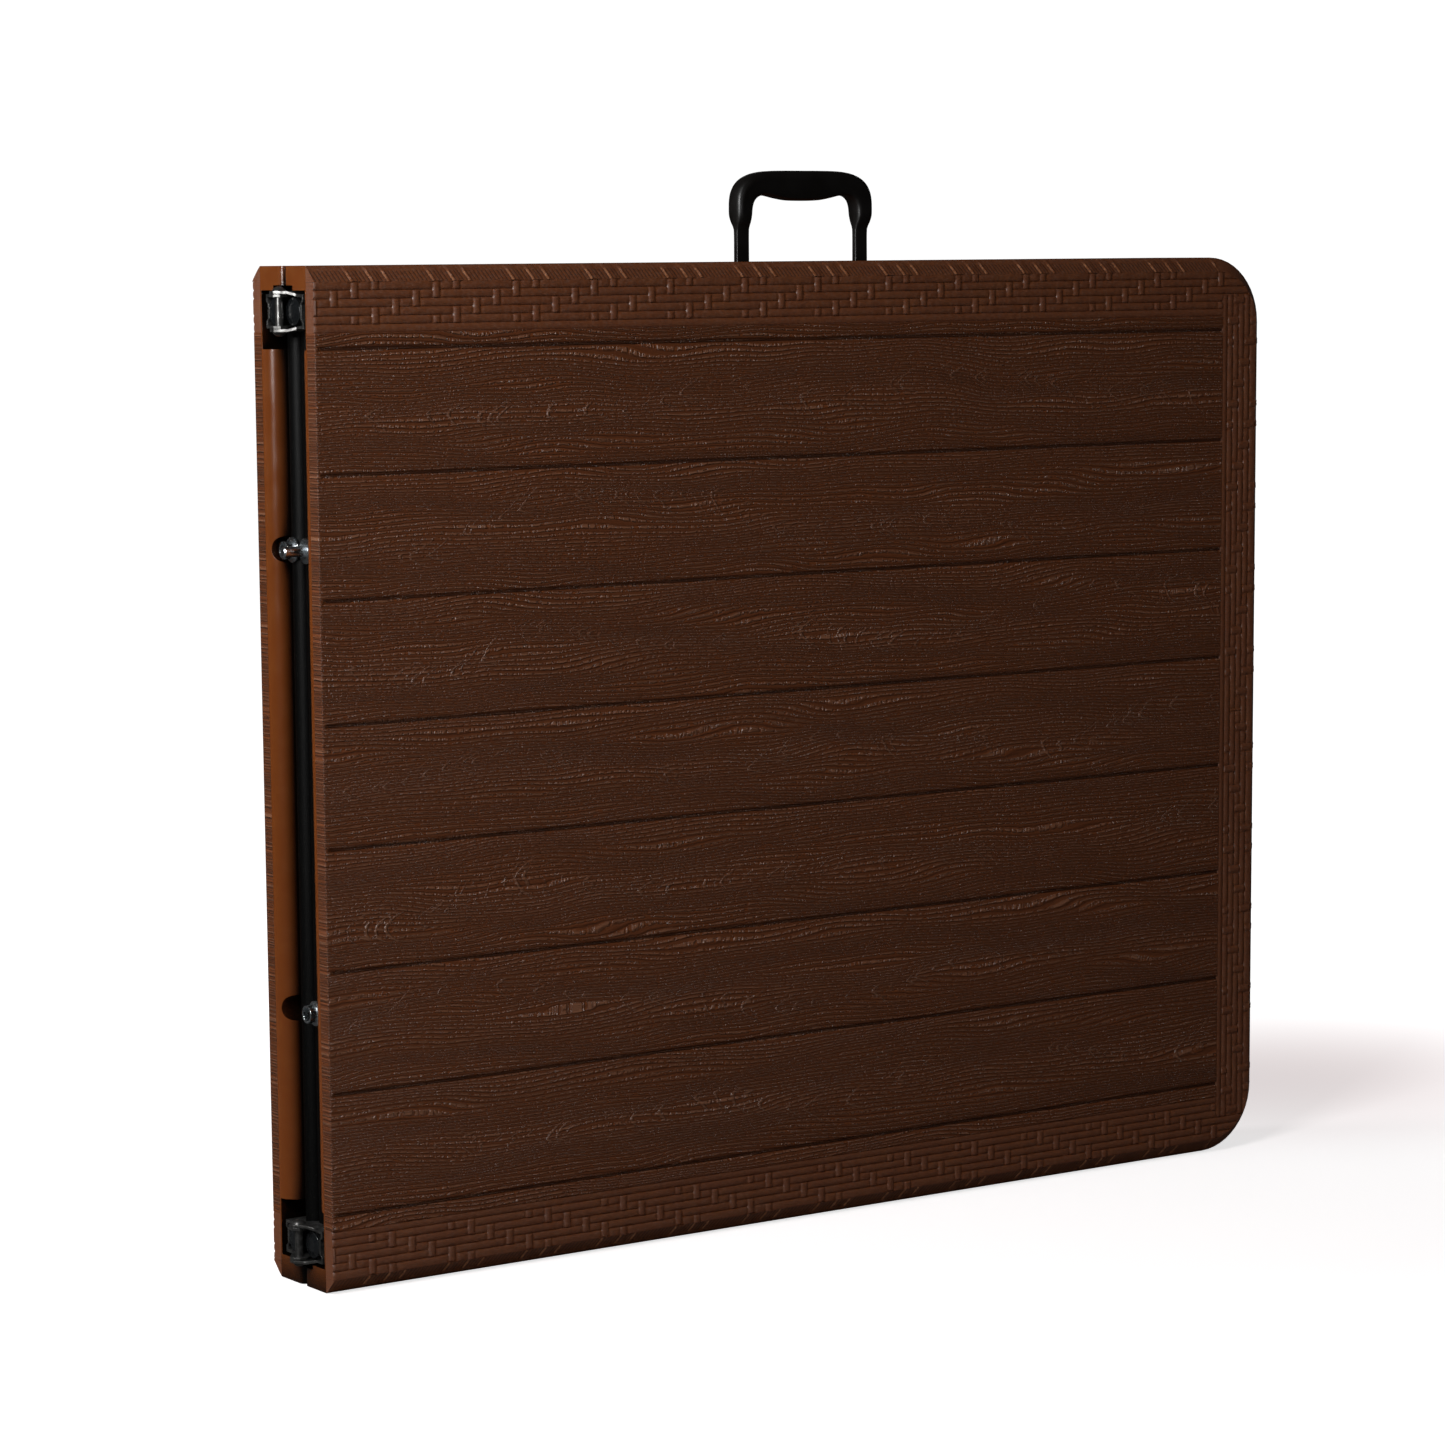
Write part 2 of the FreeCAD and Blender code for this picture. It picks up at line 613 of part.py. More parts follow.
def hinge_profile(height, joggled):
    """The end view of a hinge bracket: a channel round the rail, with a stiffening bead."""
    plate = S["hinge_plate"]
    web_back = HINGE_WEB
    web_front = web_back - plate
    bead = as_size(2.4)
    bead_edge = 3
    bead_crest = 5
    flange_end = S["hinge_ear_radius"]
    step_start = as_size(19)
    step_end = as_size(11)
    outside = HINGE_OUTSIDE
    inside = HINGE_INSIDE
    spread = EAR_INSIDE - HINGE_INSIDE if joggled else as_size(0)
    upper = [
        (-web_back, outside),
        (-step_start, outside),
        (-step_end, outside + spread),
        (flange_end, outside + spread),
        (flange_end, inside + spread),
        (-step_end, inside + spread),
        (-step_start, inside),
        (-web_front, inside),
        (-web_front, inside - bead_edge),
        (bead - web_front, inside - bead_crest),
    ]
    back = [
        (bead - web_back, inside - bead_crest),
        (-web_back, inside - bead_edge),
    ]
    if not joggled:
        steps = (-step_start.value, -step_end.value)
        upper = [corner for corner in upper if corner[0].value not in steps]
    lower = [(across, -up) for across, up in reversed(upper)]
    back_lower = [(across, -up) for across, up in reversed(back)]
    corners = upper + lower + back_lower + back
    return [(across, up + height) for across, up in corners]


def make_hinge_bracket(half, name, height, joggled, flipped):
    """A pressed steel channel on the rail's end, with two ears that reach the pin."""
    label = f"hinge_bracket_{half}_{name}"
    body = doc.addObject("PartDesign::Body", label + "_body")
    ear = S["hinge_ear_radius"]
    tip = -S["hinge_axis_out"] - ear
    end = S["hinge_plate_length"]
    sketch = outline(body, "channel_outline", "YZ_Plane", tip, [hinge_profile(height, joggled)])
    add_feature(body, "Pad", "channel", sketch, end - tip)
    ear_corner = ear * 0.42
    slope_end = 14
    shoulder_depth = 2.5
    end_corner = 4
    heel_x = 1
    heel_depth = 17
    plan = [
        (tip, ear_corner),
        (tip + ear - ear_corner, ear),
        (tip + ear + ear_corner, ear),
        (slope_end, -shoulder_depth),
        (end - end_corner, -shoulder_depth),
        (end, -shoulder_depth - end_corner),
        (end, -HINGE_WEB),
        (heel_x, -HINGE_WEB),
        (heel_x, -heel_depth),
        (tip, -ear_corner),
    ]
    frame = rectangle(tip - OVERCUT, -HINGE_WEB - OVERCUT, end + OVERCUT, ear + OVERCUT)
    sketch = outline(body, "trim_outline", "XY_Plane", height, [frame, plan])
    add_feature(body, "Pocket", "trim", sketch, THROUGH_HINGE, midplane=True)
    running_fit = 0 if joggled else 0.08
    bore = outline(body, "pin_hole_outline", "XY_Plane", height, [])
    add_circle(bore, -S["hinge_axis_out"], 0, S["hinge_pin_radius"] + running_fit)
    add_feature(body, "Pocket", "pin_hole", bore, THROUGH_HINGE, midplane=True)
    add_node(label, body, flipped)


def make_hinge_pin(name, height):
    """A riveted pin with two domed heads, fast in the front bracket's ears."""
    label = f"hinge_pin_{name}"
    x = -S["hinge_axis_out"]
    radius = S["hinge_pin_radius"]
    dome_radius = radius * 2
    dome_latitude = 26
    sink = dome_radius * math.sin(math.radians(dome_latitude))
    shank = cylinder(f"{label}_shank", x, 0, height - EAR_OUTSIDE, ALONG_Z, radius, EAR_OUTSIDE * 2)
    solids = [shank]
    for direction in (-1, 1):
        head = doc.addObject("Part::Sphere", f"{label}_head")
        head.Placement = Placement(Vector(), Rotation(Vector(1, 0, 0), 0 if direction > 0 else 180))
        bind(head, Radius=dome_radius)
        head.Angle1 = dome_latitude
        bind_base(head, x, 0, height + direction * (EAR_OUTSIDE - sink))
        solids.append(head)
    add_node(label, fuse(label, solids), False)


# ---------------------------------------------------------------- dowel and bushes

def make_dowel():
    """The alignment dowel with its round flange, on the front half's end tube."""
    flange = cylinder("dowel_flange", FLANGE_X - S["flange_thickness"], -END_TUBE_DEPTH,
                      DOWEL_HEIGHT, ALONG_X, S["flange_radius"], S["flange_thickness"])
    tip = as_size(1)
    radius = S["dowel_radius"]
    stem_start = -S["dowel_reach"] + tip
    stem = cylinder("dowel_stem", stem_start, -END_TUBE_DEPTH, DOWEL_HEIGHT, ALONG_X,
                    radius, FLANGE_X - stem_start)
    nose = doc.addObject("Part::Cone", "dowel_nose")
    nose.Placement = Placement(Vector(), ALONG_X)
    bind(nose, Radius1=radius - tip, Radius2=radius, Height=tip)
    bind_base(nose, -S["dowel_reach"], -END_TUBE_DEPTH, DOWEL_HEIGHT)
    add_node("alignment_dowel", fuse("dowel", [flange, stem, nose]), False)


def make_bush(half, flipped):
    """A flanged guide bush that takes the other half's dowel when the table is open."""
    label = f"{half}_guide_bush"
    flange = cylinder(f"{label}_flange", FLANGE_X - S["flange_thickness"], -END_TUBE_DEPTH,
                      BUSH_HEIGHT, ALONG_X, S["flange_radius"], S["flange_thickness"])
    sleeve = cylinder(f"{label}_sleeve", S["bush_mouth"], -END_TUBE_DEPTH, BUSH_HEIGHT,
                      ALONG_X, S["bush_radius"], FLANGE_X - S["bush_mouth"])
    bore = cylinder(f"{label}_bore", S["bush_mouth"] - OVERCUT, -END_TUBE_DEPTH, BUSH_HEIGHT,
                    ALONG_X, S["bush_bore"], FLANGE_X - S["bush_mouth"] + 2 * OVERCUT)
    whole = fuse(f"{label}_whole", [flange, sleeve])
    add_node(label, cut(label, whole, [bore]), flipped)


# ---------------------------------------------------------------- the legs

def make_leg_brackets(half, flipped):
    """Two bearing plates that carry the pivot tube, each with a foot under its rail."""
    foot_thickness = as_size(2.3)
    foot_length = as_size(16)
    foot_setback = 12
    foot_under_rail = 6
    half_length = as_size(14)
    height = DECK_FACE - RIM_FACE - OVERCUT
    low_ear = PIVOT_START - EAR_OVERHANG
    high_ear = WIDTH - PIVOT_START + EAR_OVERHANG - EAR_THICKNESS
    low_foot = HINGE_LOW - foot_under_rail
    high_foot_end = HINGE_HIGH + foot_under_rail
    brackets = []
    for ear_low, foot_low, foot_high in ((low_ear, low_foot, low_ear + EAR_THICKNESS),
                                         (high_ear, high_ear, high_foot_end)):
        ear = box("bearing_ear", PIVOT_X - half_length, -DECK_FACE, ear_low,
                  half_length * 2, height, EAR_THICKNESS)
        foot = box("bearing_foot", PIVOT_X - half_length - foot_setback, -DECK_FACE, foot_low,
                   foot_length, foot_thickness, foot_high - foot_low)
        whole = fuse("bearing", [ear, foot])
        hole = cylinder("bearing_hole", PIVOT_X, -AXIS_DEPTH, ear_low - OVERCUT, ALONG_Z,
                        S["pivot_radius"] + S["pivot_clearance"], EAR_THICKNESS + 2 * OVERCUT)
        brackets.append(cut("bearing_plate", whole, [hole]))
    add_node(f"{half}_leg_brackets", group(f"{half}_bearings", brackets), flipped)


def make_leg_frame(half, flipped):
    """Pivot tube, two upper legs and the crossbar between them."""
    pivot = tube(f"{half}_leg_pivot", PIVOT_X, -AXIS_DEPTH, PIVOT_START, ALONG_Z,
                 S["pivot_radius"], PIVOT_LENGTH)
    add_node(f"{half}_leg_pivot_tube", pivot, flipped)
    upper_end = PIVOT_X - S["upper_leg_length"]
    short_of_axis = 3
    saddle_half = as_size(30)
    crossing_half = as_size(40)
    for name, height in (("lower", LEG_LOW), ("upper", LEG_HIGH)):
        label = f"{half}_leg_tube_{name}"
        leg = tube(label, upper_end, -AXIS_DEPTH, height, ALONG_X, S["leg_radius"],
                   S["upper_leg_length"] - short_of_axis)
        saddle = cylinder(f"{label}_saddle", PIVOT_X, -AXIS_DEPTH, height - saddle_half, ALONG_Z,
                          S["pivot_radius"], saddle_half * 2)
        add_node(label, cut(f"{label}_saddled", leg, [saddle]), flipped)
    crossbar = tube(f"{half}_crossbar", CROSSBAR_X, -AXIS_DEPTH, LEG_LOW, ALONG_Z,
                    S["crossbar_radius"], LEG_HIGH - LEG_LOW)
    legs = []
    for height in (LEG_LOW, LEG_HIGH):
        legs.append(cylinder(f"{half}_crossbar_end", CROSSBAR_X - crossing_half, -AXIS_DEPTH, height,
                             ALONG_X, S["leg_radius"], crossing_half * 2))
    add_node(f"{half}_leg_crossbar", cut(f"{half}_crossbar_cut", crossbar, legs), flipped)


def make_leg_collars(half, flipped):
    """Plastic rings at the ends of the upper legs, which guide the lower tubes."""
    length = as_size(9)
    inside_cap = 0.2
    sliding_fit = 0.3
    start = PIVOT_X - S["upper_leg_length"] - length
    collars = []
    for height in (LEG_LOW, LEG_HIGH):
        ring = cylinder("collar_outside", start, -AXIS_DEPTH, height, ALONG_X,
                        CAP_RADIUS - inside_cap, length)
        bore = cylinder("collar_bore", start, -AXIS_DEPTH, height, ALONG_X,
                        FOOT_TUBE_RADIUS + sliding_fit, length)
        collars.append(cut("collar", ring, [bore]))
    add_node(f"{half}_leg_collars", group(f"{half}_collars", collars), flipped)


def make_feet(half, flipped):
    """The sliding lower leg tubes, each with its rubber cap."""
    foot = PIVOT_X - S["leg_folded"]
    tube_start = foot + S["cap_floor"]
    for name, height in (("lower", LEG_LOW), ("upper", LEG_HIGH)):
        label = f"{half}_foot_tube_{name}"
        slider = tube(label, tube_start, -AXIS_DEPTH, height, ALONG_X, FOOT_TUBE_RADIUS,
                      S["foot_tube_length"])
        add_node(label, slider, flipped)
        label = f"{half}_foot_cap_{name}"
        cap = cylinder(f"{label}_outside", foot, -AXIS_DEPTH, height, ALONG_X, CAP_RADIUS,
                       S["cap_length"])
        bore = cylinder(f"{label}_bore", tube_start, -AXIS_DEPTH, height, ALONG_X,
                        FOOT_TUBE_RADIUS, S["cap_length"])
        add_node(label, cut(f"{label}_hollow", cap, [bore]), flipped)


# ---------------------------------------------------------------- the braces

def make_brace(half, flipped):
    """The long brace: a sleeve that turns on the crossbar, a bar, and an eye at the knee."""
    label = f"{half}_brace"
    sleeve_half = as_size(18)
    sleeve_radius = S["leg_radius"]
    rivet_play = 0.2
    bar = S["brace_bar_half"]
    sleeve = cylinder(f"{label}_sleeve", CROSSBAR_X, -AXIS_DEPTH, BRACE_HEIGHT - sleeve_half,
                      ALONG_Z, sleeve_radius, sleeve_half * 2)
    shaft = box(f"{label}_bar", KNEE_X, -AXIS_DEPTH - bar, BRACE_HEIGHT - bar,
                BRACE_LENGTH, bar * 2, bar * 2)
    eye = cylinder(f"{label}_eye", KNEE_X, -AXIS_DEPTH, BRACE_HEIGHT - bar, ALONG_Z,
                   S["link_half_depth"], bar * 2)
    bore = cylinder(f"{label}_bore", CROSSBAR_X, -AXIS_DEPTH, BRACE_HEIGHT - sleeve_half - OVERCUT,
                    ALONG_Z, S["crossbar_radius"] + S["pivot_clearance"],
                    sleeve_half * 2 + 2 * OVERCUT)
    hole = cylinder(f"{label}_hole", KNEE_X, -AXIS_DEPTH, BRACE_HEIGHT - bar - OVERCUT, ALONG_Z,
                    RIVET_RADIUS + rivet_play, bar * 2 + 2 * OVERCUT)
    whole = fuse(f"{label}_whole", [sleeve, shaft, eye])
    add_node(label, cut(label, whole, [bore, hole]), flipped)


def make_link(half, flipped):
    """The short link: a pressed channel whose two sides take the brace between them."""
    label = f"{half}_brace_link"
    radius = S["link_half_depth"]
    web_share = 0.45
    clear_of_anchor = 10
    anchor_play = 0.1
    web_start = ANCHOR_X - LINK_LENGTH * web_share
    web_length = ANCHOR_X - clear_of_anchor - web_start
    web_thickness = as_size(2)
    eyes = ((KNEE_X, RIVET_RADIUS), (ANCHOR_X, RIVET_RADIUS + anchor_play))
    solids = []
    holes = []
    for low in (BRACE_HEIGHT - LINK_OUTSIDE, BRACE_HEIGHT + LINK_INSIDE):
        solids.append(box(f"{label}_side", KNEE_X, -AXIS_DEPTH - radius, low,
                          LINK_LENGTH, radius * 2, S["link_plate"]))
        for x, hole_radius in eyes:
            solids.append(cylinder(f"{label}_end", x, -AXIS_DEPTH, low, ALONG_Z, radius,
                                   S["link_plate"]))
            holes.append(cylinder(f"{label}_hole", x, -AXIS_DEPTH, low - OVERCUT, ALONG_Z,
                                  hole_radius, S["link_plate"] + 2 * OVERCUT))
    solids.append(box(f"{label}_web", web_start, -AXIS_DEPTH - radius, BRACE_HEIGHT - LINK_INSIDE,
                      web_length, web_thickness, LINK_INSIDE * 2))
    whole = fuse(f"{label}_whole", solids)
    add_node(label, cut(label, whole, holes), flipped)


def make_rivets(label, x, low_inside, high_outside, flipped):
    """A pair of stub rivets, one through each side plate, with heads on the outside."""
    rivets = []
    for stub_from, head_from in ((-high_outside, -high_outside - RIVET_HEAD),
                                 (low_inside, high_outside)):
        stub_low = BRACE_HEIGHT + stub_from
        head_low = BRACE_HEIGHT + head_from
        stub = cylinder(f"{label}_stub", x, -AXIS_DEPTH, stub_low, ALONG_Z, RIVET_RADIUS,
                        high_outside - low_inside)
        head = cylinder(f"{label}_head", x, -AXIS_DEPTH, head_low, ALONG_Z,
                        RIVET_RADIUS * RIVET_HEAD_RATIO, RIVET_HEAD)
        rivets.append(fuse(f"{label}_one", [stub, head]))
    add_node(label, group(f"{label}_pair", rivets), flipped)


def make_anchor(half, flipped):
    """The brace anchor: a channel screwed under the deck, whose ears hold the link."""
    label = f"{half}_brace_anchor"
    base_thickness = as_size(2)
    half_length = as_size(16)
    tab_width = as_size(14)
    reach = DECK_FACE - AXIS_DEPTH
    base = box(f"{label}_base", ANCHOR_X - half_length, -DECK_FACE, BRACE_HEIGHT - ANCHOR_OUTSIDE,
               half_length * 2, base_thickness, ANCHOR_OUTSIDE * 2)
    solids = [base]
    holes = []
    for ear_from, tab_from in ((-ANCHOR_OUTSIDE, -ANCHOR_OUTSIDE - tab_width),
                               (ANCHOR_INSIDE, ANCHOR_OUTSIDE)):
        low = BRACE_HEIGHT + ear_from
        solids.append(box(f"{label}_ear", ANCHOR_X - S["link_half_depth"], -DECK_FACE, low,
                          S["link_half_depth"] * 2, reach, S["link_plate"]))
        solids.append(cylinder(f"{label}_top", ANCHOR_X, -AXIS_DEPTH, low, ALONG_Z,
                               S["link_half_depth"], S["link_plate"]))
        solids.append(box(f"{label}_tab", ANCHOR_X - half_length, -DECK_FACE,
                          BRACE_HEIGHT + tab_from, half_length * 2, base_thickness, tab_width))
        holes.append(cylinder(f"{label}_hole", ANCHOR_X, -AXIS_DEPTH, low - OVERCUT, ALONG_Z,
                              RIVET_RADIUS, S["link_plate"] + 2 * OVERCUT))
    whole = fuse(f"{label}_whole", solids)
    add_node(label, cut(label, whole, holes), flipped)


# ---------------------------------------------------------------- clips and screws

def make_leg_clips(half, flipped):
    """Sprung clips under the deck that hold the folded legs."""
    clips = []
    from_leg_end = 70
    x = PIVOT_X - S["upper_leg_length"] + from_leg_end
    length = as_size(24)
    wall = as_size(2.5)
    gap = as_size(0.5)
    bore = S["leg_radius"] + gap
    for height in (LEG_LOW, LEG_HIGH):
        block = box("clip_block", x, -DECK_FACE, height - bore - wall, length,
                    DECK_FACE - AXIS_DEPTH, (bore + wall) * 2)
        hollow = cylinder("clip_hollow", x - OVERCUT, -AXIS_DEPTH, height, ALONG_X, bore,
                          length + 2 * OVERCUT)
        clips.append(cut("clip", block, [hollow]))
    add_node(f"{half}_leg_clips", group(f"{half}_clips", clips), flipped)


def make_screws(half, flipped):
    """The screws through the rails into the deck."""
    screws = []
    head_seat = AXIS_DEPTH - S["rail_radius"]
    for height in (HINGE_LOW, HINGE_HIGH):
        for place in SCREW_PLACES:
            shank = cylinder("screw_shank", place, -head_seat - SCREW_LENGTH, height, ALONG_Y,
                             S["screw_radius"], SCREW_LENGTH)
            head = cylinder("screw_head", place, -head_seat, height, ALONG_Y,
                            S["screw_head_radius"], SCREW_HEAD)
            screws.append(fuse("screw", [shank, head]))
    add_node(f"{half}_frame_screws", group(f"{half}_screws", screws), flipped)


# ---------------------------------------------------------------- the carry handle

def make_handle():
    """The moulded grip with its two shoulders and flat straps."""
    body = doc.addObject("PartDesign::Body", "handle_body")
    half = S["handle_width"] / 2
    top = S["handle_rise"]
    shoulder = S["handle_shoulder"]
    arm = half - S["handle_arm"]
    inner_top = top - S["grip_height"]
    right = [(half - inset, shoulder + up) for inset, up in reversed(HANDLE_OUTSIDE_LOW)]
    right += [(half - inset, top - down) for inset, down in reversed(HANDLE_OUTSIDE)]
    right.append((GRIP_FLAT_TOP, top))
    inner_right = [(GRIP_FLAT_UNDERSIDE, inner_top)]
    inner_right += [(arm - inset, inner_top + up) for inset, up in HANDLE_INSIDE]
    inner_right += [(arm + outset, shoulder + up) for outset, up in HANDLE_INSIDE_LOW]
    left = [(-across, up) for across, up in reversed(right)]
    inner_left = [(-across, up) for across, up in reversed(inner_right)]
    corners = right + left + inner_left + inner_right
    corners = [(HANDLE_X + across, WIDTH + up) for across, up in corners]
    middle = HANDLE_SETBACK
    sketch = outline(body, "grip_outline", "XZ_Plane", middle, [corners])
    add_feature(body, "Pad", "grip", sketch, S["handle_depth"], midplane=True)
    above_shoulder = (WIDTH + shoulder + OVERCUT).value
    dress(body, "Fillet", "grip_edges", as_size(GRIP_ROUND),
          lambda edge: near(edge.BoundBox.YMin, edge.BoundBox.YMax)
          and edge.BoundBox.ZMin > above_shoulder)
    straps = []
    bottom = WIDTH - S["rim_width"] - S["strap_clearance"]
    strap_half = S["strap_width"] / 2
    for side in (-1, 1):
        centre = HANDLE_X + side * STRAP_OFFSET
        straps.append(rectangle(centre - strap_half, bottom, centre + strap_half,
                                WIDTH + shoulder + STRAP_OVERLAP))
    sketch = outline(body, "strap_outline", "XZ_Plane", middle, straps)
    add_feature(body, "Pad", "straps", sketch, S["strap_thickness"], midplane=True)
    add_node("handle", body, False)


def make_handle_stops():
    """Shoes on the strap ends, wider than the slots, that stop the handle pulling out."""
    top = WIDTH - S["rim_width"] - S["strap_clearance"]
    depth = S["strap_thickness"]
    for name, side in (("left", -1), ("right", 1)):
        centre = HANDLE_X + side * STRAP_OFFSET
        shoe = box("shoe", centre - STOP_HALF_WIDTH, -HANDLE_SETBACK - depth / 2,
                   top - STOP_HEIGHT, STOP_HALF_WIDTH * 2, depth, STOP_HEIGHT)
        screw = cylinder("shoe_screw", centre, -HANDLE_SETBACK,
                         top - STOP_HEIGHT - SCREW_HEAD, ALONG_Z, S["screw_radius"], SCREW_HEAD)
        add_node(f"handle_stop_{name}", fuse(f"stop_{name}", [shoe, screw]), False)


# ---------------------------------------------------------------- the whole table

def make_half(half, flipped):
    """Everything that belongs to one half of the table."""
    make_top(f"{half}_top", flipped, with_handle=not flipped)
    make_rails(half, flipped)
    make_rail_plugs(half, flipped)
    make_end_tube(half, flipped)
    for name, height in (("lower", HINGE_LOW), ("upper", HINGE_HIGH)):
        make_hinge_bracket(half, name, height, not flipped, flipped)
    make_bush(half, flipped)
    make_leg_brackets(half, flipped)
    make_leg_frame(half, flipped)
    make_leg_collars(half, flipped)
    make_feet(half, flipped)
    make_brace(half, flipped)
    make_link(half, flipped)
    make_rivets(f"{half}_knee_rivets", KNEE_X, LINK_INSIDE, LINK_OUTSIDE, flipped)
    make_anchor(half, flipped)
    make_rivets(f"{half}_anchor_rivets", ANCHOR_X, LINK_INSIDE, ANCHOR_OUTSIDE, flipped)
    make_leg_clips(half, flipped)
    make_screws(half, flipped)


def check_and_export():
    """Stops on any failed object, then writes each sub-part to its own file."""
    doc.recompute()
    for thing in doc.Objects:
        if "Invalid" in thing.State or "Error" in thing.State:
            raise RuntimeError(f"{thing.Label} failed: {thing.State}")
    os.makedirs("parts", exist_ok=True)
    for node in nodes:
        if node.Shape.isNull() or not node.Shape.isValid():
            raise RuntimeError(f"{node.Label} has no valid shape")
        node.Shape.exportStep(f"parts/{node.Label}.step")
    print(f"{len(nodes)} nodes written")


make_half("front", False)
make_half("back", True)
make_hinge_pin("lower", HINGE_LOW)
make_hinge_pin("upper", HINGE_HIGH)
make_dowel()
make_handle()
make_handle_stops()
check_and_export()
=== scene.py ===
"""Folding table, folded and standing on its long edge: looks, light and camera.

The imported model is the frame. The tabletops are replaced by finer moulded shapes (planks, woven border,
ribbed bevel), the handle by a smoother one, and every other node keeps its shape and gets a material.

Lengths in the moulded shapes are in millimetres: u runs from the fold end, v up from the lower long
edge, and height out of the planks' face. place_on_half() turns them into metres.
Lengths inside materials are in metres, except where face_uv() gives millimetres. Colours are linear.
"""
import json
import math

import bmesh
import bpy
import numpy as np
from mathutils import Matrix, Vector


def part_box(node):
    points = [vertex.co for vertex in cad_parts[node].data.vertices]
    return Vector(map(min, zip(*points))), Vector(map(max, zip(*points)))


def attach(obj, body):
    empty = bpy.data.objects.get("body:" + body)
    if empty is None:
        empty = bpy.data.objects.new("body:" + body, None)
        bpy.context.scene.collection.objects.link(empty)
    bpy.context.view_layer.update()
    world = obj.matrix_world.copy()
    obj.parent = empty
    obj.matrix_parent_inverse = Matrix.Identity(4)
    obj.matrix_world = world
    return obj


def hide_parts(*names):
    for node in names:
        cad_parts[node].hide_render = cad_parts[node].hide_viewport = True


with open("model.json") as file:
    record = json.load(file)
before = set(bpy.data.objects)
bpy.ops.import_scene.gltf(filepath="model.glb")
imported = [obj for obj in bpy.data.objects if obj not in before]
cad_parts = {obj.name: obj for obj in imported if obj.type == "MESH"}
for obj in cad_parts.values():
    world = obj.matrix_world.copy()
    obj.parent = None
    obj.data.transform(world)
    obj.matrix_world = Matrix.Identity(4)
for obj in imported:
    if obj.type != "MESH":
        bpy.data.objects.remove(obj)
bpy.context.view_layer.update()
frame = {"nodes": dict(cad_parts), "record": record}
scene = bpy.context.scene

MM = 0.001
top_low, top_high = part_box("front_top")
FOLD_X = top_low.x
LENGTH = (top_high.x - top_low.x) / MM
WIDTH = (top_high.z - top_low.z) / MM
FACE = -top_low.y / MM

# Slope round the three outer edges, and the rounded corners of the outer end.
BEVEL = 11.5
CUT = FACE - BEVEL
CORNER = 53.0
CORNER_U = LENGTH - CORNER
CORNER_V = WIDTH - CORNER

# Woven border: rows of long strands along it, and columns of short strands over two rows at a time.
# In the corners the end border takes over from CORNER_BAND inwards.
ROWS = 6
BAND_TOP = 48.0
BAND_PITCH = (BAND_TOP - BEVEL) / ROWS
END_BAND = 48.0
END_PITCH = (END_BAND - BEVEL) / ROWS
END_START = LENGTH - END_BAND
CORNER_BAND = 30.0
COLUMN_PITCH = 17.12
COLUMNS_IN_REPEAT = 4
REPEAT = COLUMNS_IN_REPEAT * COLUMN_PITCH
FIRST_COLUMN = 16.6
FIRST_END_COLUMN = 663.9

# Strands: half a short one's width, how far beside it a long one comes back up, the creases' depth,
# how full the outermost flank stays, the hump of a long strand that passes over, and the short
# strands' height and rounded ends. ABSENT is a height below everything.
STRAND_HALF = 2.9
STRAND_SINK = 3.4
WEAVE_DEPTH = 1.5
OUTER_FLANK = 0.75
HUMP_HEIGHT = 0.3
HUMP_REACH = 4.0
SHORT_RISE = 0.35
SHORT_END = 1.5
ABSENT = -9.0

# Rounding of the tabletop's edge at the fold end.
FOLD_ROUND = 1.4
FOLD_DROP = 0.9

# Pattern on the slope: wraps, leaning sharp ridges with a steep front, and fine ribs. The whole is
# sunk by BEVEL_SINK and stands out by BEVEL_TILT of its height both sideways and upwards.
WRAP_HEIGHT = 0.6
RIDGES = (28.2, 45.4, 58.6)
RIDGE_LEAN = 2.2
RIDGE_HEIGHT = 0.9
RIDGE_FRONT = 1.0
RIDGE_CREST = 1.2
RIDGE_FOOT = 4.5
RIB_PITCH = COLUMN_PITCH / 5
RIB_HEIGHT = 0.4
BEVEL_SINK = 0.25
BEVEL_TILT = 0.7
BEVEL_STEP = 1.15
BEVEL_SHARES = (0.0, 0.08, 0.2, 0.36, 0.52, 0.68, 0.84, 0.94, 1.0)
LONG_EDGE, ROUND_CORNER, OUTER_END = 0, 1, 2

# Grooves between the planks, each with a small bead along its floor.
GROOVES = 8
FIRST_GROOVE = 59.2
GROOVE_PITCH = (WIDTH - 2 * FIRST_GROOVE) / (GROOVES - 1)
GROOVE_START = 4.5
GROOVE_STOP = END_START - 1.0
GROOVE_HALF = 2.3
GROOVE_FLOOR = GROOVE_HALF * 0.45
GROOVE_DEPTH = 1.3
GROOVE_BEAD = 0.35


# ---------------------------------------------------------------- moulded relief of a tabletop

def smooth(value, low, high):
    """0 below low, 1 above high, and an S-curve between."""
    t = np.clip((value - low) / (high - low), 0.0, 1.0)
    return t * t * (3.0 - 2.0 * t)


def arch(value, half):
    """Half an ellipse: 1 at 0 and 0 at half and beyond."""
    return np.sqrt(np.clip(1.0 - (value / half) ** 2, 0.0, 1.0))


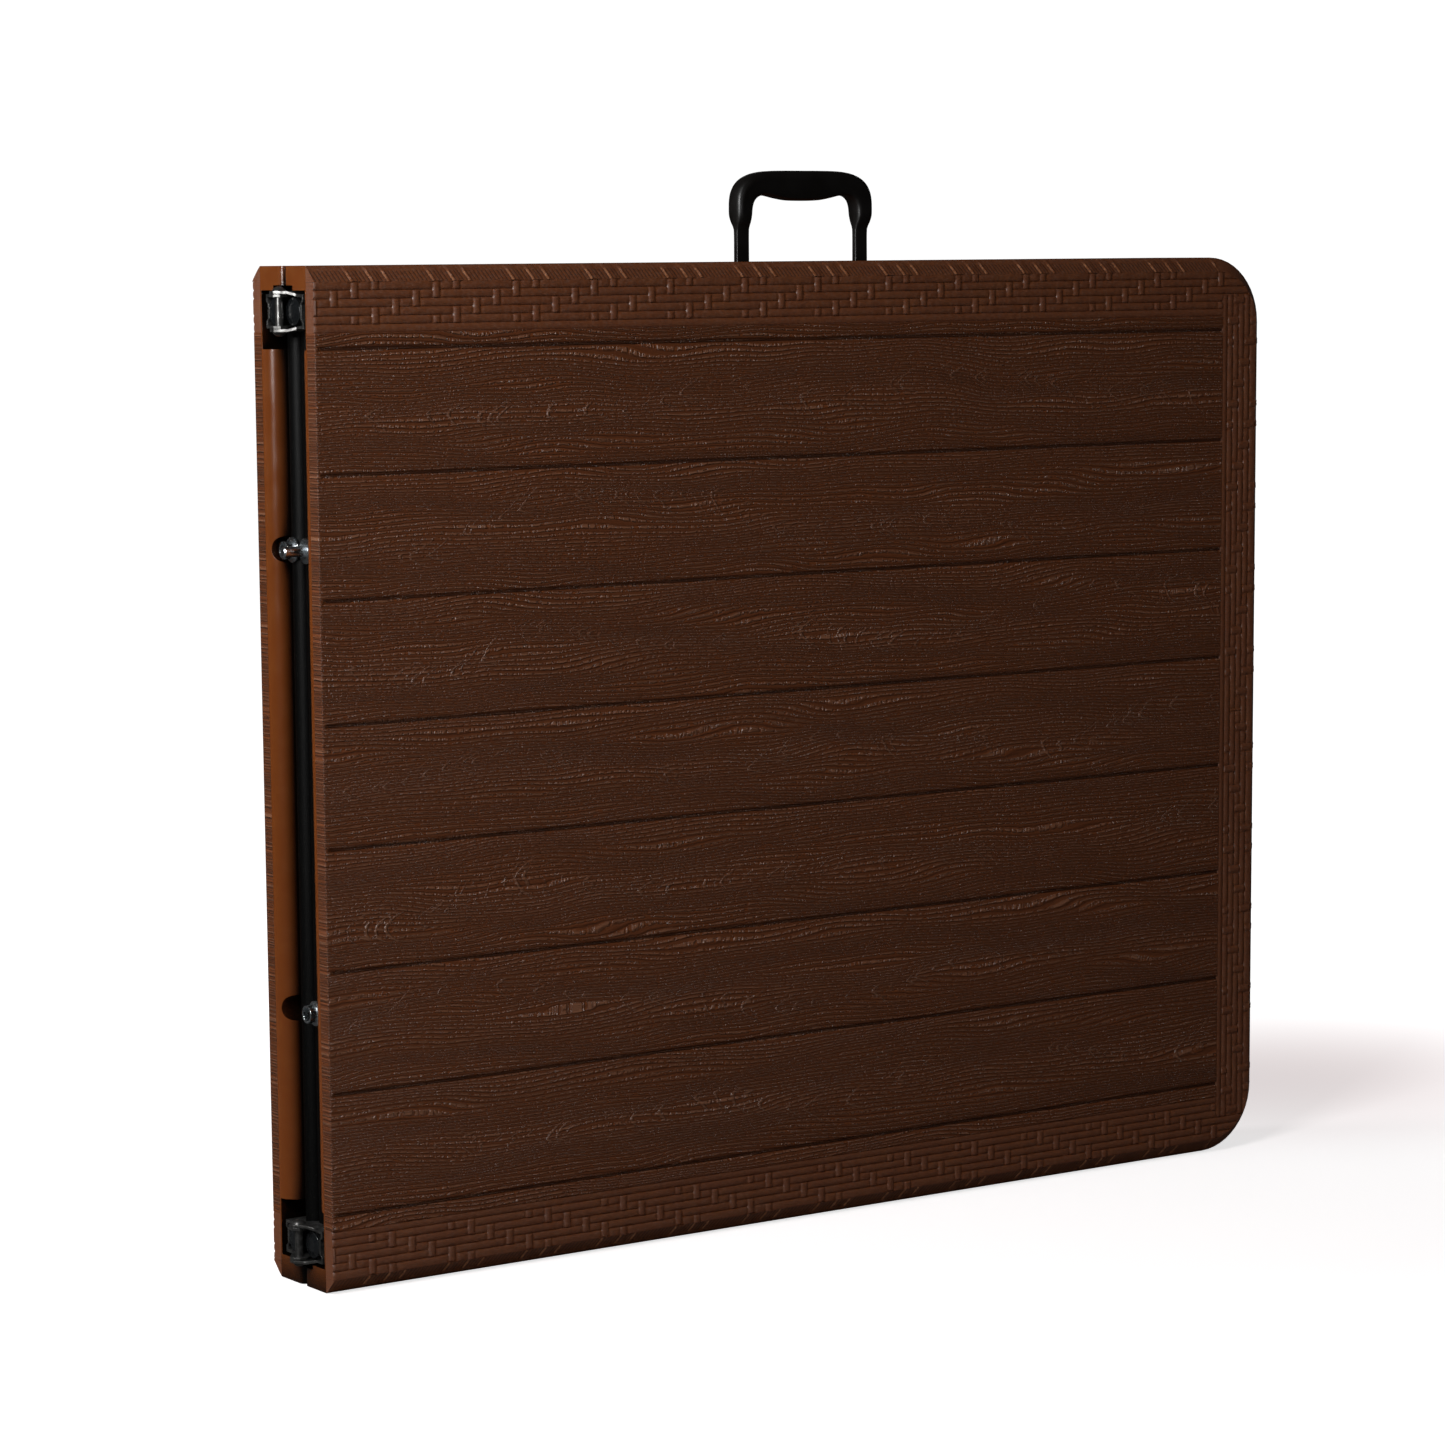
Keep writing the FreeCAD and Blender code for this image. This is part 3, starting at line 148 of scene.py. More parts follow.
def twill(along, inward, first_column, pitch):
    """Height of the woven border: long strands along it, and short strands over two rows at a time."""
    row = np.clip(np.floor((inward - BEVEL) / pitch), 0, ROWS - 1)
    from_row = inward - BEVEL - (row + 0.5) * pitch
    column = np.round((along - first_column) / COLUMN_PITCH)
    from_column = np.abs(along - first_column - column * COLUMN_PITCH)
    phase = np.mod(row + column, COLUMNS_IN_REPEAT)
    last = row == ROWS - 1
    covered = ((phase == 1) | (phase == 2)) & ~last

    profile = arch(from_row, pitch / 2 + 0.02)
    outer_flank = (row == 0) & (from_row < 0)
    profile = np.where(outer_flank, OUTER_FLANK + (1.0 - OUTER_FLANK) * profile, profile)
    beside = smooth(from_column, STRAND_HALF - 0.2, STRAND_HALF + STRAND_SINK)
    dip = np.where(covered, beside, 1.0)
    hump = np.where(covered | last, 0.0, HUMP_HEIGHT * np.exp(-(from_column / HUMP_REACH) ** 2))
    long_strand = -WEAVE_DEPTH + (WEAVE_DEPTH + hump) * profile * (0.5 + 0.5 * dip)

    pair_centre = np.where(phase == 1, from_row - pitch / 2, from_row + pitch / 2)
    single = (row == ROWS - 2) & (phase == 1)
    pair_centre = np.where(single, from_row, pair_centre)
    reach = np.where(single, pitch / 2, pitch) - 0.1
    past_reach = np.clip(np.abs(pair_centre) - (reach - SHORT_END), 0, None)
    ends = arch(past_reach, SHORT_END + 0.1)
    crown = 0.35 + 0.65 * arch(from_column, STRAND_HALF)
    short_strand = -WEAVE_DEPTH + (WEAVE_DEPTH + SHORT_RISE) * ends * crown
    short_strand = np.where(covered & (from_column < STRAND_HALF), short_strand, ABSENT)
    return np.maximum(long_strand, short_strand)


def plank_height(u, v):
    """Height of the planks: the grooves between them, rounded at both ends, with a bead inside."""
    index = np.clip(np.round((v - FIRST_GROOVE) / GROOVE_PITCH), 0, GROOVES - 1)
    across = v - FIRST_GROOVE - index * GROOVE_PITCH
    beyond = np.maximum(GROOVE_START - u, 0) + np.maximum(u - GROOVE_STOP, 0)
    away = np.hypot(across, beyond)
    trough = 1.0 - smooth(away, GROOVE_FLOOR, GROOVE_HALF)
    bead = GROOVE_BEAD * (1.0 - smooth(away, 0.0, GROOVE_FLOOR))
    return -GROOVE_DEPTH * (trough - bead)


def face_height(u, v):
    """Height of the tabletop at (u, v), 0 at the planks."""
    upper = np.maximum(v, WIDTH - v)
    inward = WIDTH - upper
    in_end = (u > END_START) & (inward > CORNER_BAND)
    in_band = (inward < BAND_TOP) & ~in_end
    height = plank_height(u, v)
    height = np.where(in_band, twill(u, inward, FIRST_COLUMN, BAND_PITCH), height)
    height = np.where(in_end, twill(upper, LENGTH - u, FIRST_END_COLUMN, END_PITCH), height)
    edge = np.clip(1.0 - u / FOLD_ROUND, 0.0, 1.0)
    return height - FOLD_DROP * (1.0 - np.sqrt(1.0 - edge ** 2))


def bevel_inner_u(v):
    """Where the tabletop ends and the bevel of the outer end begins, at height v."""
    radius = CORNER - BEVEL
    past = np.clip(np.maximum(v, WIDTH - v) - CORNER_V, 0.0, radius - 0.02)
    return CORNER_U + np.sqrt(radius ** 2 - past ** 2)


# Where grid lines stand: millimetres from a column's middle, shares of a row, and millimetres from
# a groove's middle and then shares of the way to the next groove.
ALONG = (-8.3, -6.4, -4.9, -3.9, -3.2, -2.7, -1.7, -0.6, 0.6, 1.7, 2.7, 3.2, 3.9, 4.9, 6.4)
ACROSS = (0.0, 0.04, 0.12, 0.24, 0.38, 0.5, 0.62, 0.76, 0.88, 0.96)
OVER_GROOVE = (-2.4, -2.0, -1.6, -1.3, -1.0, -0.7, -0.35, 0.0, 0.35, 0.7, 1.0, 1.3, 1.6, 2.0, 2.4)
OVER_PLANK = (0.1, 0.3, 0.5, 0.7, 0.9)
NEAR_FOLD = (0.0, 0.15, 0.35, 0.6, 0.9, 1.4, 2.0, 2.5, 2.9, 3.4, 3.9, 4.4, 5.0, 6.5)
NEAR_END = (4.5, 2.4, 1.6, 0.8, 0.2, 0.0)
PLANK_STEP = 20.0
CORNER_LINES = 44
CLOSEST = 0.4


def strand_lines(start, stop, first_column):
    """Grid lines along a border, close together at each short strand's edges."""
    low = math.floor((start - first_column) / COLUMN_PITCH) - 1
    high = math.ceil((stop - first_column) / COLUMN_PITCH) + 1
    lines = [first_column + k * COLUMN_PITCH + d for k in range(low, high) for d in ALONG]
    inside = [x for x in lines if start + CLOSEST < x < stop - CLOSEST]
    return np.array([start] + inside + [stop])


def row_lines(start, pitch):
    """Grid lines across a border, close together at each crease."""
    lines = [start + k * pitch + d * pitch for k in range(ROWS) for d in ACROSS]
    return np.array(lines + [start + ROWS * pitch])


def slab(u_grid, v_grid, base):
    """Closed slab whose outer side follows face_height over a grid of points."""
    rows, columns = u_grid.shape
    height = FACE + face_height(u_grid, v_grid)
    outer = np.stack([u_grid, height, v_grid], axis=-1).reshape(-1, 3)
    number = np.arange(rows * columns).reshape(rows, columns)
    a, b = number[:-1, :-1], number[:-1, 1:]
    c, d = number[1:, 1:], number[1:, :-1]
    faces = np.stack([a, b, c, d], axis=-1).reshape(-1, 4).tolist()
    rim = np.concatenate([number[0, :-1], number[:-1, -1], number[-1, :0:-1], number[:0:-1, 0]])
    floor_points = outer[rim].copy()
    floor_points[:, 1] = base
    first = len(outer)
    below = first + np.arange(len(rim))
    following = np.roll(np.arange(len(rim)), -1)
    for k, n in enumerate(following):
        faces.append([int(rim[k]), int(below[k]), int(below[n]), int(rim[n])])
    faces.append(below[::-1].tolist())
    return np.concatenate([outer, floor_points]), faces


def rim_path():
    """Points round the three outer edges: u, v, outward direction, length along the edge, and kind."""
    straight = np.linspace(0.0, CORNER_U, int(CORNER_U / BEVEL_STEP))
    arc = np.linspace(0.0, math.pi / 2, int(CORNER * math.pi / 2 / BEVEL_STEP))[1:]
    end_half = WIDTH / 2 - CORNER
    drops = np.linspace(0.0, end_half, int(end_half / BEVEL_STEP))[1:]
    points = [(u, WIDTH, 0.0, 1.0, u, LONG_EDGE) for u in straight]
    for angle in arc:
        out_u, out_v = math.sin(angle), math.cos(angle)
        points.append((CORNER_U + CORNER * out_u, CORNER_V + CORNER * out_v, out_u, out_v,
                       CORNER_U + angle * CORNER, ROUND_CORNER))
    points += [(LENGTH, CORNER_V - drop, 1.0, 0.0, CORNER_V - drop, OUTER_END) for drop in drops]
    upper = np.array(points)
    lower = upper[::-1][1:].copy()
    lower[:, 1] = WIDTH - lower[:, 1]
    lower[:, 3] *= -1
    return np.concatenate([upper, lower])


def bevel_relief(along, kind, share):
    """Height of the slope's slanted pattern, at a share of the way from the side to the tabletop."""
    long_edge = kind == LONG_EDGE
    first_wrap = np.where(long_edge, FIRST_COLUMN, FIRST_END_COLUMN) + COLUMN_PITCH
    place = np.where(long_edge, along - RIDGE_LEAN * share, along)
    cycle = np.mod(place - first_wrap + COLUMN_PITCH / 2, REPEAT) - COLUMN_PITCH / 2
    near_wrap = np.minimum(np.abs(cycle), np.abs(cycle - COLUMN_PITCH))
    wrap = WRAP_HEIGHT * arch(near_wrap, STRAND_HALF) * (kind != ROUND_CORNER)
    blade = np.zeros_like(cycle)
    for spot in RIDGES:
        past = np.mod(place - spot, REPEAT)
        front = np.clip(past / RIDGE_FRONT, 0, 1)
        back = 1.0 - smooth(past, RIDGE_CREST, RIDGE_FOOT)
        blade = np.maximum(blade, RIDGE_HEIGHT * front * back)
    blade *= long_edge
    ribs = RIB_HEIGHT * np.abs(np.sin(math.pi * place / RIB_PITCH))
    first_rib = RIB_HEIGHT * (1.0 - smooth(along, 0.6, 2.2)) * long_edge
    flank = 0.25 + 0.75 * smooth(share, 0.0, 0.25) * (1.0 - smooth(share, 0.9, 1.0) * 0.6)
    return (wrap + ribs + blade + first_rib) * flank - BEVEL_SINK


def bevel_ring(base):
    """Closed ring for the slope round the three outer edges."""
    u, v, out_u, out_v, along, kind = rim_path().T
    rows = []
    for share in BEVEL_SHARES:
        raised = bevel_relief(along, kind, share) * BEVEL_TILT
        inset = BEVEL * share - raised
        out = np.minimum(base + BEVEL * share + raised, FACE + 0.1)
        rows.append(np.stack([u - out_u * inset, out, v - out_v * inset], axis=-1))
    inner = rows[-1].copy()
    inner[:, 1] = base
    rows.append(inner)
    grid = np.stack(rows)
    grid[:, :, 0] = np.maximum(grid[:, :, 0], 0.0)
    count, length = grid.shape[:2]
    number = np.arange(count * length).reshape(count, length)
    faces = []
    for r in range(count):
        a, b = number[r, :-1], number[r, 1:]
        c, d = number[(r + 1) % count, 1:], number[(r + 1) % count, :-1]
        faces += np.stack([a, b, c, d], axis=-1).tolist()
    faces.append(number[:, 0].tolist())
    faces.append(number[::-1, -1].tolist())
    return grid.reshape(-1, 3), faces


def place_on_half(points, half):
    """Millimetres on a half to metres in the shared frame; the back half is the front one turned over."""
    u, out, v = points.T
    if half == "front":
        return np.stack([FOLD_X + u * MM, -out * MM, v * MM], axis=-1)
    return np.stack([FOLD_X + u * MM, out * MM, (WIDTH - v) * MM], axis=-1)


# Edges sharper than these degrees stay creased, in the new shapes and in the CAD shell.
SHARP_MOULDED = 50
SHARP_SHELL = 35


def linked(name, data):
    """A new object in the scene that holds a mesh, a light or a camera."""
    piece = bpy.data.objects.new(name, data)
    scene.collection.objects.link(piece)
    return piece


def tidy_normals(mesh, sharp_angle=None):
    """Smooth shading with outward normals, and creases where an edge is sharper than the angle."""
    mesh.polygons.foreach_set("use_smooth", [True] * len(mesh.polygons))
    bm = bmesh.new()
    bm.from_mesh(mesh)
    bmesh.ops.recalc_face_normals(bm, faces=bm.faces)
    if sharp_angle is not None:
        for edge in bm.edges:
            if len(edge.link_faces) == 2 and edge.calc_face_angle(0.0) > math.radians(sharp_angle):
                edge.smooth = False
    bm.to_mesh(mesh)
    bm.free()


def moulded_piece(name, shell, half):
    """Object on one half made from (points, faces), with the tabletop's own (u, v) as a UV map."""
    points, faces = shell
    mesh = bpy.data.meshes.new(name)
    mesh.from_pydata(place_on_half(points, half).tolist(), [], faces)
    corner_vertex = np.zeros(len(mesh.loops), dtype=np.int64)
    mesh.loops.foreach_get("vertex_index", corner_vertex)
    flat = (points[:, [0, 2]] * MM)[corner_vertex]
    mesh.uv_layers.new(name="face").data.foreach_set("uv", flat.ravel())
    tidy_normals(mesh, SHARP_MOULDED)
    return linked(name, mesh)


def merge(*shells):
    """Several (points, faces) shells as one."""
    points, faces, first = [], [], 0
    for shell_points, shell_faces in shells:
        points.append(shell_points)
        faces += [[first + n for n in face] for face in shell_faces]
        first += len(shell_points)
    return np.concatenate(points), faces


def band_shell(upper):
    """The woven border along one long edge, up to the outer end's rounded corner."""
    inward = row_lines(BEVEL, BAND_PITCH)
    inward[0] += 0.05
    v = WIDTH - inward[::-1] if upper else inward
    straight = strand_lines(0.0, CORNER_U, FIRST_COLUMN)
    share = np.linspace(0.0, 1.0, CORNER_LINES)[1:]
    u_end = bevel_inner_u(v)
    u_grid = np.concatenate([np.repeat(straight[None, :], len(v), axis=0),
                             CORNER_U + share[None, :] * (u_end - CORNER_U)[:, None]], axis=1)
    v_grid = np.repeat(v[:, None], u_grid.shape[1], axis=1)
    return slab(u_grid, v_grid, CUT)


def end_shell():
    """The woven border along the outer end."""
    half = strand_lines(WIDTH / 2, WIDTH - BAND_TOP, FIRST_END_COLUMN)
    v = np.concatenate([(WIDTH - half)[::-1], half[1:]])
    share = 1.0 - row_lines(0.0, 1.0 / ROWS)[::-1]
    u_end = bevel_inner_u(v)
    u_grid = u_end[:, None] - (1.0 - share)[None, :] * (u_end - END_START)[:, None]
    v_grid = np.repeat(v[:, None], u_grid.shape[1], axis=1)
    return slab(u_grid, v_grid, CUT)


def plank_shell():
    """The planks, between the woven borders."""
    v = [BAND_TOP, BAND_TOP + 1.0]
    for k in range(GROOVES):
        centre = FIRST_GROOVE + k * GROOVE_PITCH
        v += [centre + d for d in OVER_GROOVE]
        if k < GROOVES - 1:
            v += [centre + GROOVE_PITCH * f for f in OVER_PLANK]
    v += [WIDTH - BAND_TOP - 1.0, WIDTH - BAND_TOP]
    u = list(NEAR_FOLD) + list(np.arange(PLANK_STEP, END_START - 8.0, PLANK_STEP))
    u += [END_START - d for d in NEAR_END]
    u_grid, v_grid = np.meshgrid(np.array(u), np.array(v))
    return slab(u_grid, v_grid, CUT)


def shell_below(half):
    """The CAD top without its tabletop face: all that lies nearer the seam than the bevel."""
    mesh = frame["nodes"][f"{half}_top"].data.copy()
    bm = bmesh.new()
    bm.from_mesh(mesh)
    bmesh.ops.remove_doubles(bm, verts=bm.verts, dist=1e-6)
    side = -1.0 if half == "front" else 1.0
    geometry = bm.verts[:] + bm.edges[:] + bm.faces[:]
    cut = bmesh.ops.bisect_plane(bm, geom=geometry, plane_co=(0, side * CUT * MM, 0),
                                 plane_no=(0, side, 0), clear_outer=True)
    edges = [item for item in cut["geom_cut"] if isinstance(item, bmesh.types.BMEdge)]
    bmesh.ops.contextual_create(bm, geom=edges)
    for edge in bm.edges:
        edge.smooth = edge.calc_face_angle(0.0) < math.radians(SHARP_SHELL)
    for face in bm.faces:
        face.smooth = True
    bm.to_mesh(mesh)
    bm.free()
    mesh.materials.clear()
    return linked(f"{half}_top_shell", mesh)


# ---------------------------------------------------------------- materials

class Graph:
    """Short calls for building one material's nodes."""

    def __init__(self, name, colour, roughness, metallic=0.0, specular=0.5):
        self.material = bpy.data.materials.new(name)
        self.material.use_nodes = True
        self.tree = self.material.node_tree
        self.shader = self.tree.nodes["Principled BSDF"]
        self.set("Base Color", (*colour, 1.0))
        self.set("Roughness", roughness)
        self.set("Metallic", metallic)
        self.set("Specular IOR Level", specular)
        self.material.diffuse_color = (*colour, 1.0)

    def set(self, name, value):
        """Give an input of the material's shader a value or a link."""
        self.put(self.shader.inputs[name], value)

    def put(self, socket, value):
        """Give any input a value, or link it when the value is another node's output."""
        if isinstance(value, bpy.types.NodeSocket):
            self.tree.links.new(value, socket)
        else:
            socket.default_value = value

    def node(self, kind, inputs=(), **settings):
        """A new node with its settings and inputs."""
        made = self.tree.nodes.new(kind)
        for key, value in settings.items():
            setattr(made, key, value)
        for key, value in dict(inputs).items():
            self.put(made.inputs[key], value)
        return made

    def math(self, operation, a, b=0.0, clamp=False):
        return self.node("ShaderNodeMath", {0: a, 1: b}, operation=operation,
                         use_clamp=clamp).outputs[0]

    def add(self, a, b):
        return self.math("ADD", a, b)

    def minus(self, a, b):
        return self.math("SUBTRACT", a, b)

    def times(self, a, b):
        return self.math("MULTIPLY", a, b)

    def larger(self, a, b):
        return self.math("MAXIMUM", a, b)

    def distance_from_zero(self, value):
        return self.math("ABSOLUTE", value)

    def ramp(self, value, low, high, to_low=0.0, to_high=1.0):
        """to_low below low, to_high above high, and an S-curve between."""
        made = self.node("ShaderNodeMapRange", {"Value": value, "From Min": low, "From Max": high,
                                                "To Min": to_low, "To Max": to_high},
                         interpolation_type="SMOOTHSTEP")
        return made.outputs["Result"]

    def noise(self, vector, scale=1.0, detail=2.0, roughness=0.5):
        made = self.node("ShaderNodeTexNoise", {"Vector": vector, "Scale": scale, "Detail": detail,
                                                "Roughness": roughness})
        return made.outputs["Fac"]

    def mix(self, factor, a, b):
        """Colour between a and b; each is a colour or another node's output."""
        made = self.node("ShaderNodeMix", data_type="RGBA")
        for place, value in zip((0, 6, 7), (factor, self.opaque(a), self.opaque(b))):
            self.put(made.inputs[place], value)
        return made.outputs[2]

    @staticmethod
    def opaque(value):
        """A colour with its alpha; anything else as it is."""
        return (*value, 1.0) if isinstance(value, tuple) else value

    def combine(self, x, y, z=0.0):
        return self.node("ShaderNodeCombineXYZ", {0: x, 1: y, 2: z}).outputs[0]

    def bump(self, height, distance, strength=1.0, normal=None):
        made = self.node("ShaderNodeBump", {"Height": height, "Distance": distance,
                                            "Strength": strength})
        if normal is not None:
            self.put(made.inputs["Normal"], normal)
        return made.outputs["Normal"]

    def soft_edges(self, radius):
        """A normal that rounds sharp edges by the radius."""
        return self.node("ShaderNodeBevel", {"Radius": radius}, samples=6).outputs[0]

    def place(self):
        """Metres in the object's own axes."""
        return self.node("ShaderNodeTexCoord").outputs["Object"]

    def distance(self, point):
        """Metres from a fixed point."""
        return self.node("ShaderNodeVectorMath", {0: self.place(), 1: point},
                         operation="DISTANCE").outputs["Value"]

    def face_uv(self):
        """Millimetres along a tabletop from the fold end, and across it from its lower long edge."""
        flat = self.node("ShaderNodeUVMap", uv_map="face").outputs[0]
        split = self.node("ShaderNodeSeparateXYZ", {0: flat})
        return self.times(split.outputs[0], 1.0 / MM), self.times(split.outputs[1], 1.0 / MM)


# The one brown of the plastic, with what is paler or darker in it, and the colours of painted shade and
# painted highlights.
BROWN = (0.175, 0.0455, 0.0095)
BROWN_DEEP = (0.14, 0.0355, 0.0072)
BROWN_WARM = (0.22, 0.068, 0.012)
PAINTED_HOLLOW_SHADE = (0.004, 0.0018, 0.001)
DASH_AND_HIGHLIGHT = (0.33, 0.18, 0.115)
GRAIN_VALLEY = (0.045, 0.011, 0.003)
GROOVE_PAINTED_SHADE = (0.012, 0.004, 0.0015)
CREST_HIGHLIGHT = (0.5, 0.2, 0.08)
RIB_VALLEY_SHADE = (0.02, 0.006, 0.002)
STRAND_LINE = (0.05, 0.0135, 0.0045)
STRAND_FIBRE = (0.26, 0.17, 0.12)


def brown_colour(graph, place):
    """Moulded brown, a little deeper or warmer in patches."""
    patches = graph.noise(place, 5.0, 3.0, 0.55)
    fine = graph.noise(place, 60.0, 2.0, 0.6)
    colour = graph.mix(graph.ramp(patches, 0.3, 0.7), BROWN_DEEP, BROWN)
    colour = graph.mix(0.35, BROWN, colour)
    return graph.mix(graph.ramp(fine, 0.35, 0.75, 0.0, 0.25), colour, BROWN_WARM)


def plain_plastic():
    """Smooth moulded plastic of the rims and the underside, with painted shade where it is closed in."""
    graph = Graph("moulded_plain", BROWN, 0.4, specular=0.22)
    place = graph.place()
    # Painted shade: where ambient occlusion finds the surface closed in, the colour turns near black.
    openness = graph.node("ShaderNodeAmbientOcclusion", {"Distance": 0.06}).outputs["AO"]
    shade = graph.ramp(openness, 0.42, 0.88)
    graph.set("Base Color", graph.mix(shade, PAINTED_HOLLOW_SHADE, brown_colour(graph, place)))
    ripple = graph.noise(place, 900.0, 2.0, 0.5)
    waves = graph.noise(place, 60.0, 1.0, 0.5)
    graph.set("Roughness", graph.ramp(waves, 0.3, 0.7, 0.16, 0.22))
    rough = graph.bump(ripple, 0.00006, 0.6, graph.soft_edges(0.0007))
    graph.set("Normal", graph.bump(waves, 0.0004, 0.25, rough))
    return graph.material


def slanted_lines(graph, u, inward):
    """Masks for the painted highlight on the sharp ridges' crests and the painted shade in the valleys
    between the ribs; 0 away from the slope.
    """
    leaning = graph.minus(u, graph.times(inward, RIDGE_LEAN / BEVEL))
    ridge_highlight_mask = 0.0
    for spot in RIDGES:
        past = graph.math("FLOORED_MODULO", graph.minus(leaning, spot - 1.0), REPEAT)
        off = graph.distance_from_zero(graph.minus(past, 1.4))
        ridge_highlight_mask = graph.larger(ridge_highlight_mask, graph.ramp(off, 0.25, 0.95, 1.0, 0.0))
    slope = graph.times(graph.ramp(inward, 3.2, 4.6),
                        graph.ramp(inward, BEVEL - 0.8, BEVEL + 0.4, 1.0, 0.0))
    slope = graph.times(slope, graph.ramp(u, CORNER_U - 8.0, CORNER_U + 8.0, 1.0, 0.0))
    wave = graph.math("SINE", graph.times(leaning, math.pi / RIB_PITCH))
    rib_shade_mask = graph.ramp(graph.distance_from_zero(wave), 0.15, 0.6, 0.75, 0.0)
    return graph.times(ridge_highlight_mask, slope), graph.times(rib_shade_mask, slope)


def weave_plastic():
    """Moulded plastic of the woven border: fine lines along the strands, a painted highlight on the
    ridges' crests and painted shade between the ribs.
    """
    graph = Graph("moulded_weave", BROWN, 0.5, specular=0.6)
    place = graph.place()
    u, v = graph.face_uv()
    inward = graph.math("MINIMUM", v, graph.minus(WIDTH, v))
    fibres = graph.noise(place, 420.0, 3.0, 0.6)
    lines = graph.noise(graph.combine(graph.times(u, 0.25), graph.times(v, 1.4)), 1.0, 2.0, 0.6)
    base = brown_colour(graph, place)
    base = graph.mix(graph.ramp(lines, 0.3, 0.6, 0.45, 0.0), base, STRAND_LINE)
    base = graph.mix(graph.ramp(fibres, 0.45, 0.75, 0.0, 0.16), base, STRAND_FIBRE)
    ridge_highlight_mask, rib_shade_mask = slanted_lines(graph, u, inward)
    # Painted shade in the valleys between the ribs, and a painted highlight, speckled by the fibres, on
    # the ridges' crests.
    base = graph.mix(rib_shade_mask, base, RIB_VALLEY_SHADE)
    crest_painted_highlight = graph.times(ridge_highlight_mask, graph.ramp(fibres, 0.3, 0.7, 0.15, 0.7))
    graph.set("Base Color", graph.mix(crest_painted_highlight, base, CREST_HIGHLIGHT))
    graph.set("Roughness", graph.ramp(fibres, 0.3, 0.7, 0.46, 0.6))
    graph.set("Normal", graph.bump(graph.add(fibres, lines), 0.0003, 0.7))
    return graph.material


# Millimetres between rows of the grain, and how far the noise moves from plank to plank.
RING_SPACING = 3.0
ARCH_SPACING = 3.6
FINE_SPACING = 1.55
PLANK_SHIFT = 17.3


def grain_plastic():
    """Moulded plastic of the planks: oak grain in rows of short dashes, with nested arches."""
    graph = Graph("moulded_planks", BROWN, 0.42, specular=0.34)
    place = graph.place()
    u, v = graph.face_uv()
    steps = graph.math("DIVIDE", graph.minus(v, FIRST_GROOVE), GROOVE_PITCH)
    own = graph.times(graph.math("FLOOR", steps), PLANK_SHIFT)
    from_middle = graph.times(graph.minus(graph.math("FRACT", steps), 0.5), GROOVE_PITCH)

    def field(per_u, per_v, shift, across=v, detail=1.0):
        """Noise, stretched by per_u along and per_v across; each shift and each plank differs."""
        spot = graph.combine(graph.times(u, per_u), graph.times(across, per_v),
                             graph.add(own, shift))
        return graph.noise(spot, 1.0, detail, 0.5)

    def rings(along, spacing, low, high):
        """Rows a spacing apart, from 0 where a sine is at low to 1 where it is at high."""
        wave = graph.math("SINE", graph.times(along, 2.0 * math.pi / spacing))
        return graph.ramp(wave, low, high)

    # Straight grain wanders slowly; near a plank's heart it turns into arches.
    heart = graph.ramp(field(0.004, 0.0, 3.1), 0.2, 0.8, -26.0, 26.0)
    drift = graph.ramp(field(0.006, 0.03, 7.7), 0.2, 0.8, -6.0, 6.0)
    flow = graph.add(from_middle, drift)
    flow = graph.add(flow, graph.times(field(0.012, 0.05, 1.3), 2.2))
    flow = graph.add(flow, graph.times(field(0.12, 0.3, 5.9), 0.9))
    aside = graph.add(graph.minus(from_middle, heart), drift)
    bend = graph.math("SQRT", graph.add(graph.times(aside, aside), 10.0))
    arches = graph.minus(bend, graph.times(u, 0.42))
    arch_flow = graph.add(arches, graph.times(field(0.05, 0.12, 2.3), 1.6))
    near_heart = graph.ramp(graph.distance_from_zero(aside), 4.0, 14.0, 0.8, 0.0)

    # Dashes and dots along the rows, and strokes along the arches.
    dashes = graph.ramp(field(0.34, 0.3, 9.1, flow), 0.4, 0.54)
    dashes = graph.times(rings(flow, RING_SPACING, -0.1, 0.8), dashes)
    dots = graph.ramp(field(0.75, 0.5, 6.6, flow), 0.54, 0.66)
    dots = graph.times(dots, rings(flow, RING_SPACING, -0.3, 0.6))
    strokes = graph.ramp(field(0.05, 0.3, 4.4, arches), 0.52, 0.64)
    strokes = graph.times(rings(arch_flow, ARCH_SPACING, 0.1, 0.9), strokes)
    strokes = graph.times(strokes, near_heart)
    crowd = graph.ramp(field(0.008, 0.045, 8.2, detail=2.0), 0.3, 0.65, 0.7, 1.0)
    height = graph.larger(graph.times(dashes, crowd), strokes)
    height = graph.larger(height, graph.times(dots, crowd))
    relief = graph.add(height, graph.times(rings(flow, FINE_SPACING, -0.6, 1.0), 0.3))
    graph.set("Normal", graph.bump(relief, 0.002, 1.0))
    graph.set("Roughness", graph.ramp(relief, 0.0, 1.2, 0.5, 0.34))

    # Darker between the rows, with painted shade in the grooves; paler on the dashes, partly the grain's
    # own tone and partly a painted highlight.
    base = graph.mix(0.7, brown_colour(graph, place), BROWN)
    base = graph.mix(graph.times(rings(flow, RING_SPACING, 0.2, -0.8), 0.4), base, GRAIN_VALLEY)
    base = graph.mix(graph.math("MULTIPLY", height, 0.42, True), base, DASH_AND_HIGHLIGHT)
    half_pitch = GROOVE_PITCH / 2
    # Painted shade along the middle of each groove.
    groove = graph.ramp(graph.distance_from_zero(from_middle),
                        half_pitch - 1.6, half_pitch - 0.5, 0.0, 0.6)
    groove = graph.times(groove, graph.ramp(u, GROOVE_START, GROOVE_START + 1.0))
    graph.set("Base Color", graph.mix(groove, base, GROOVE_PAINTED_SHADE))
    return graph.material


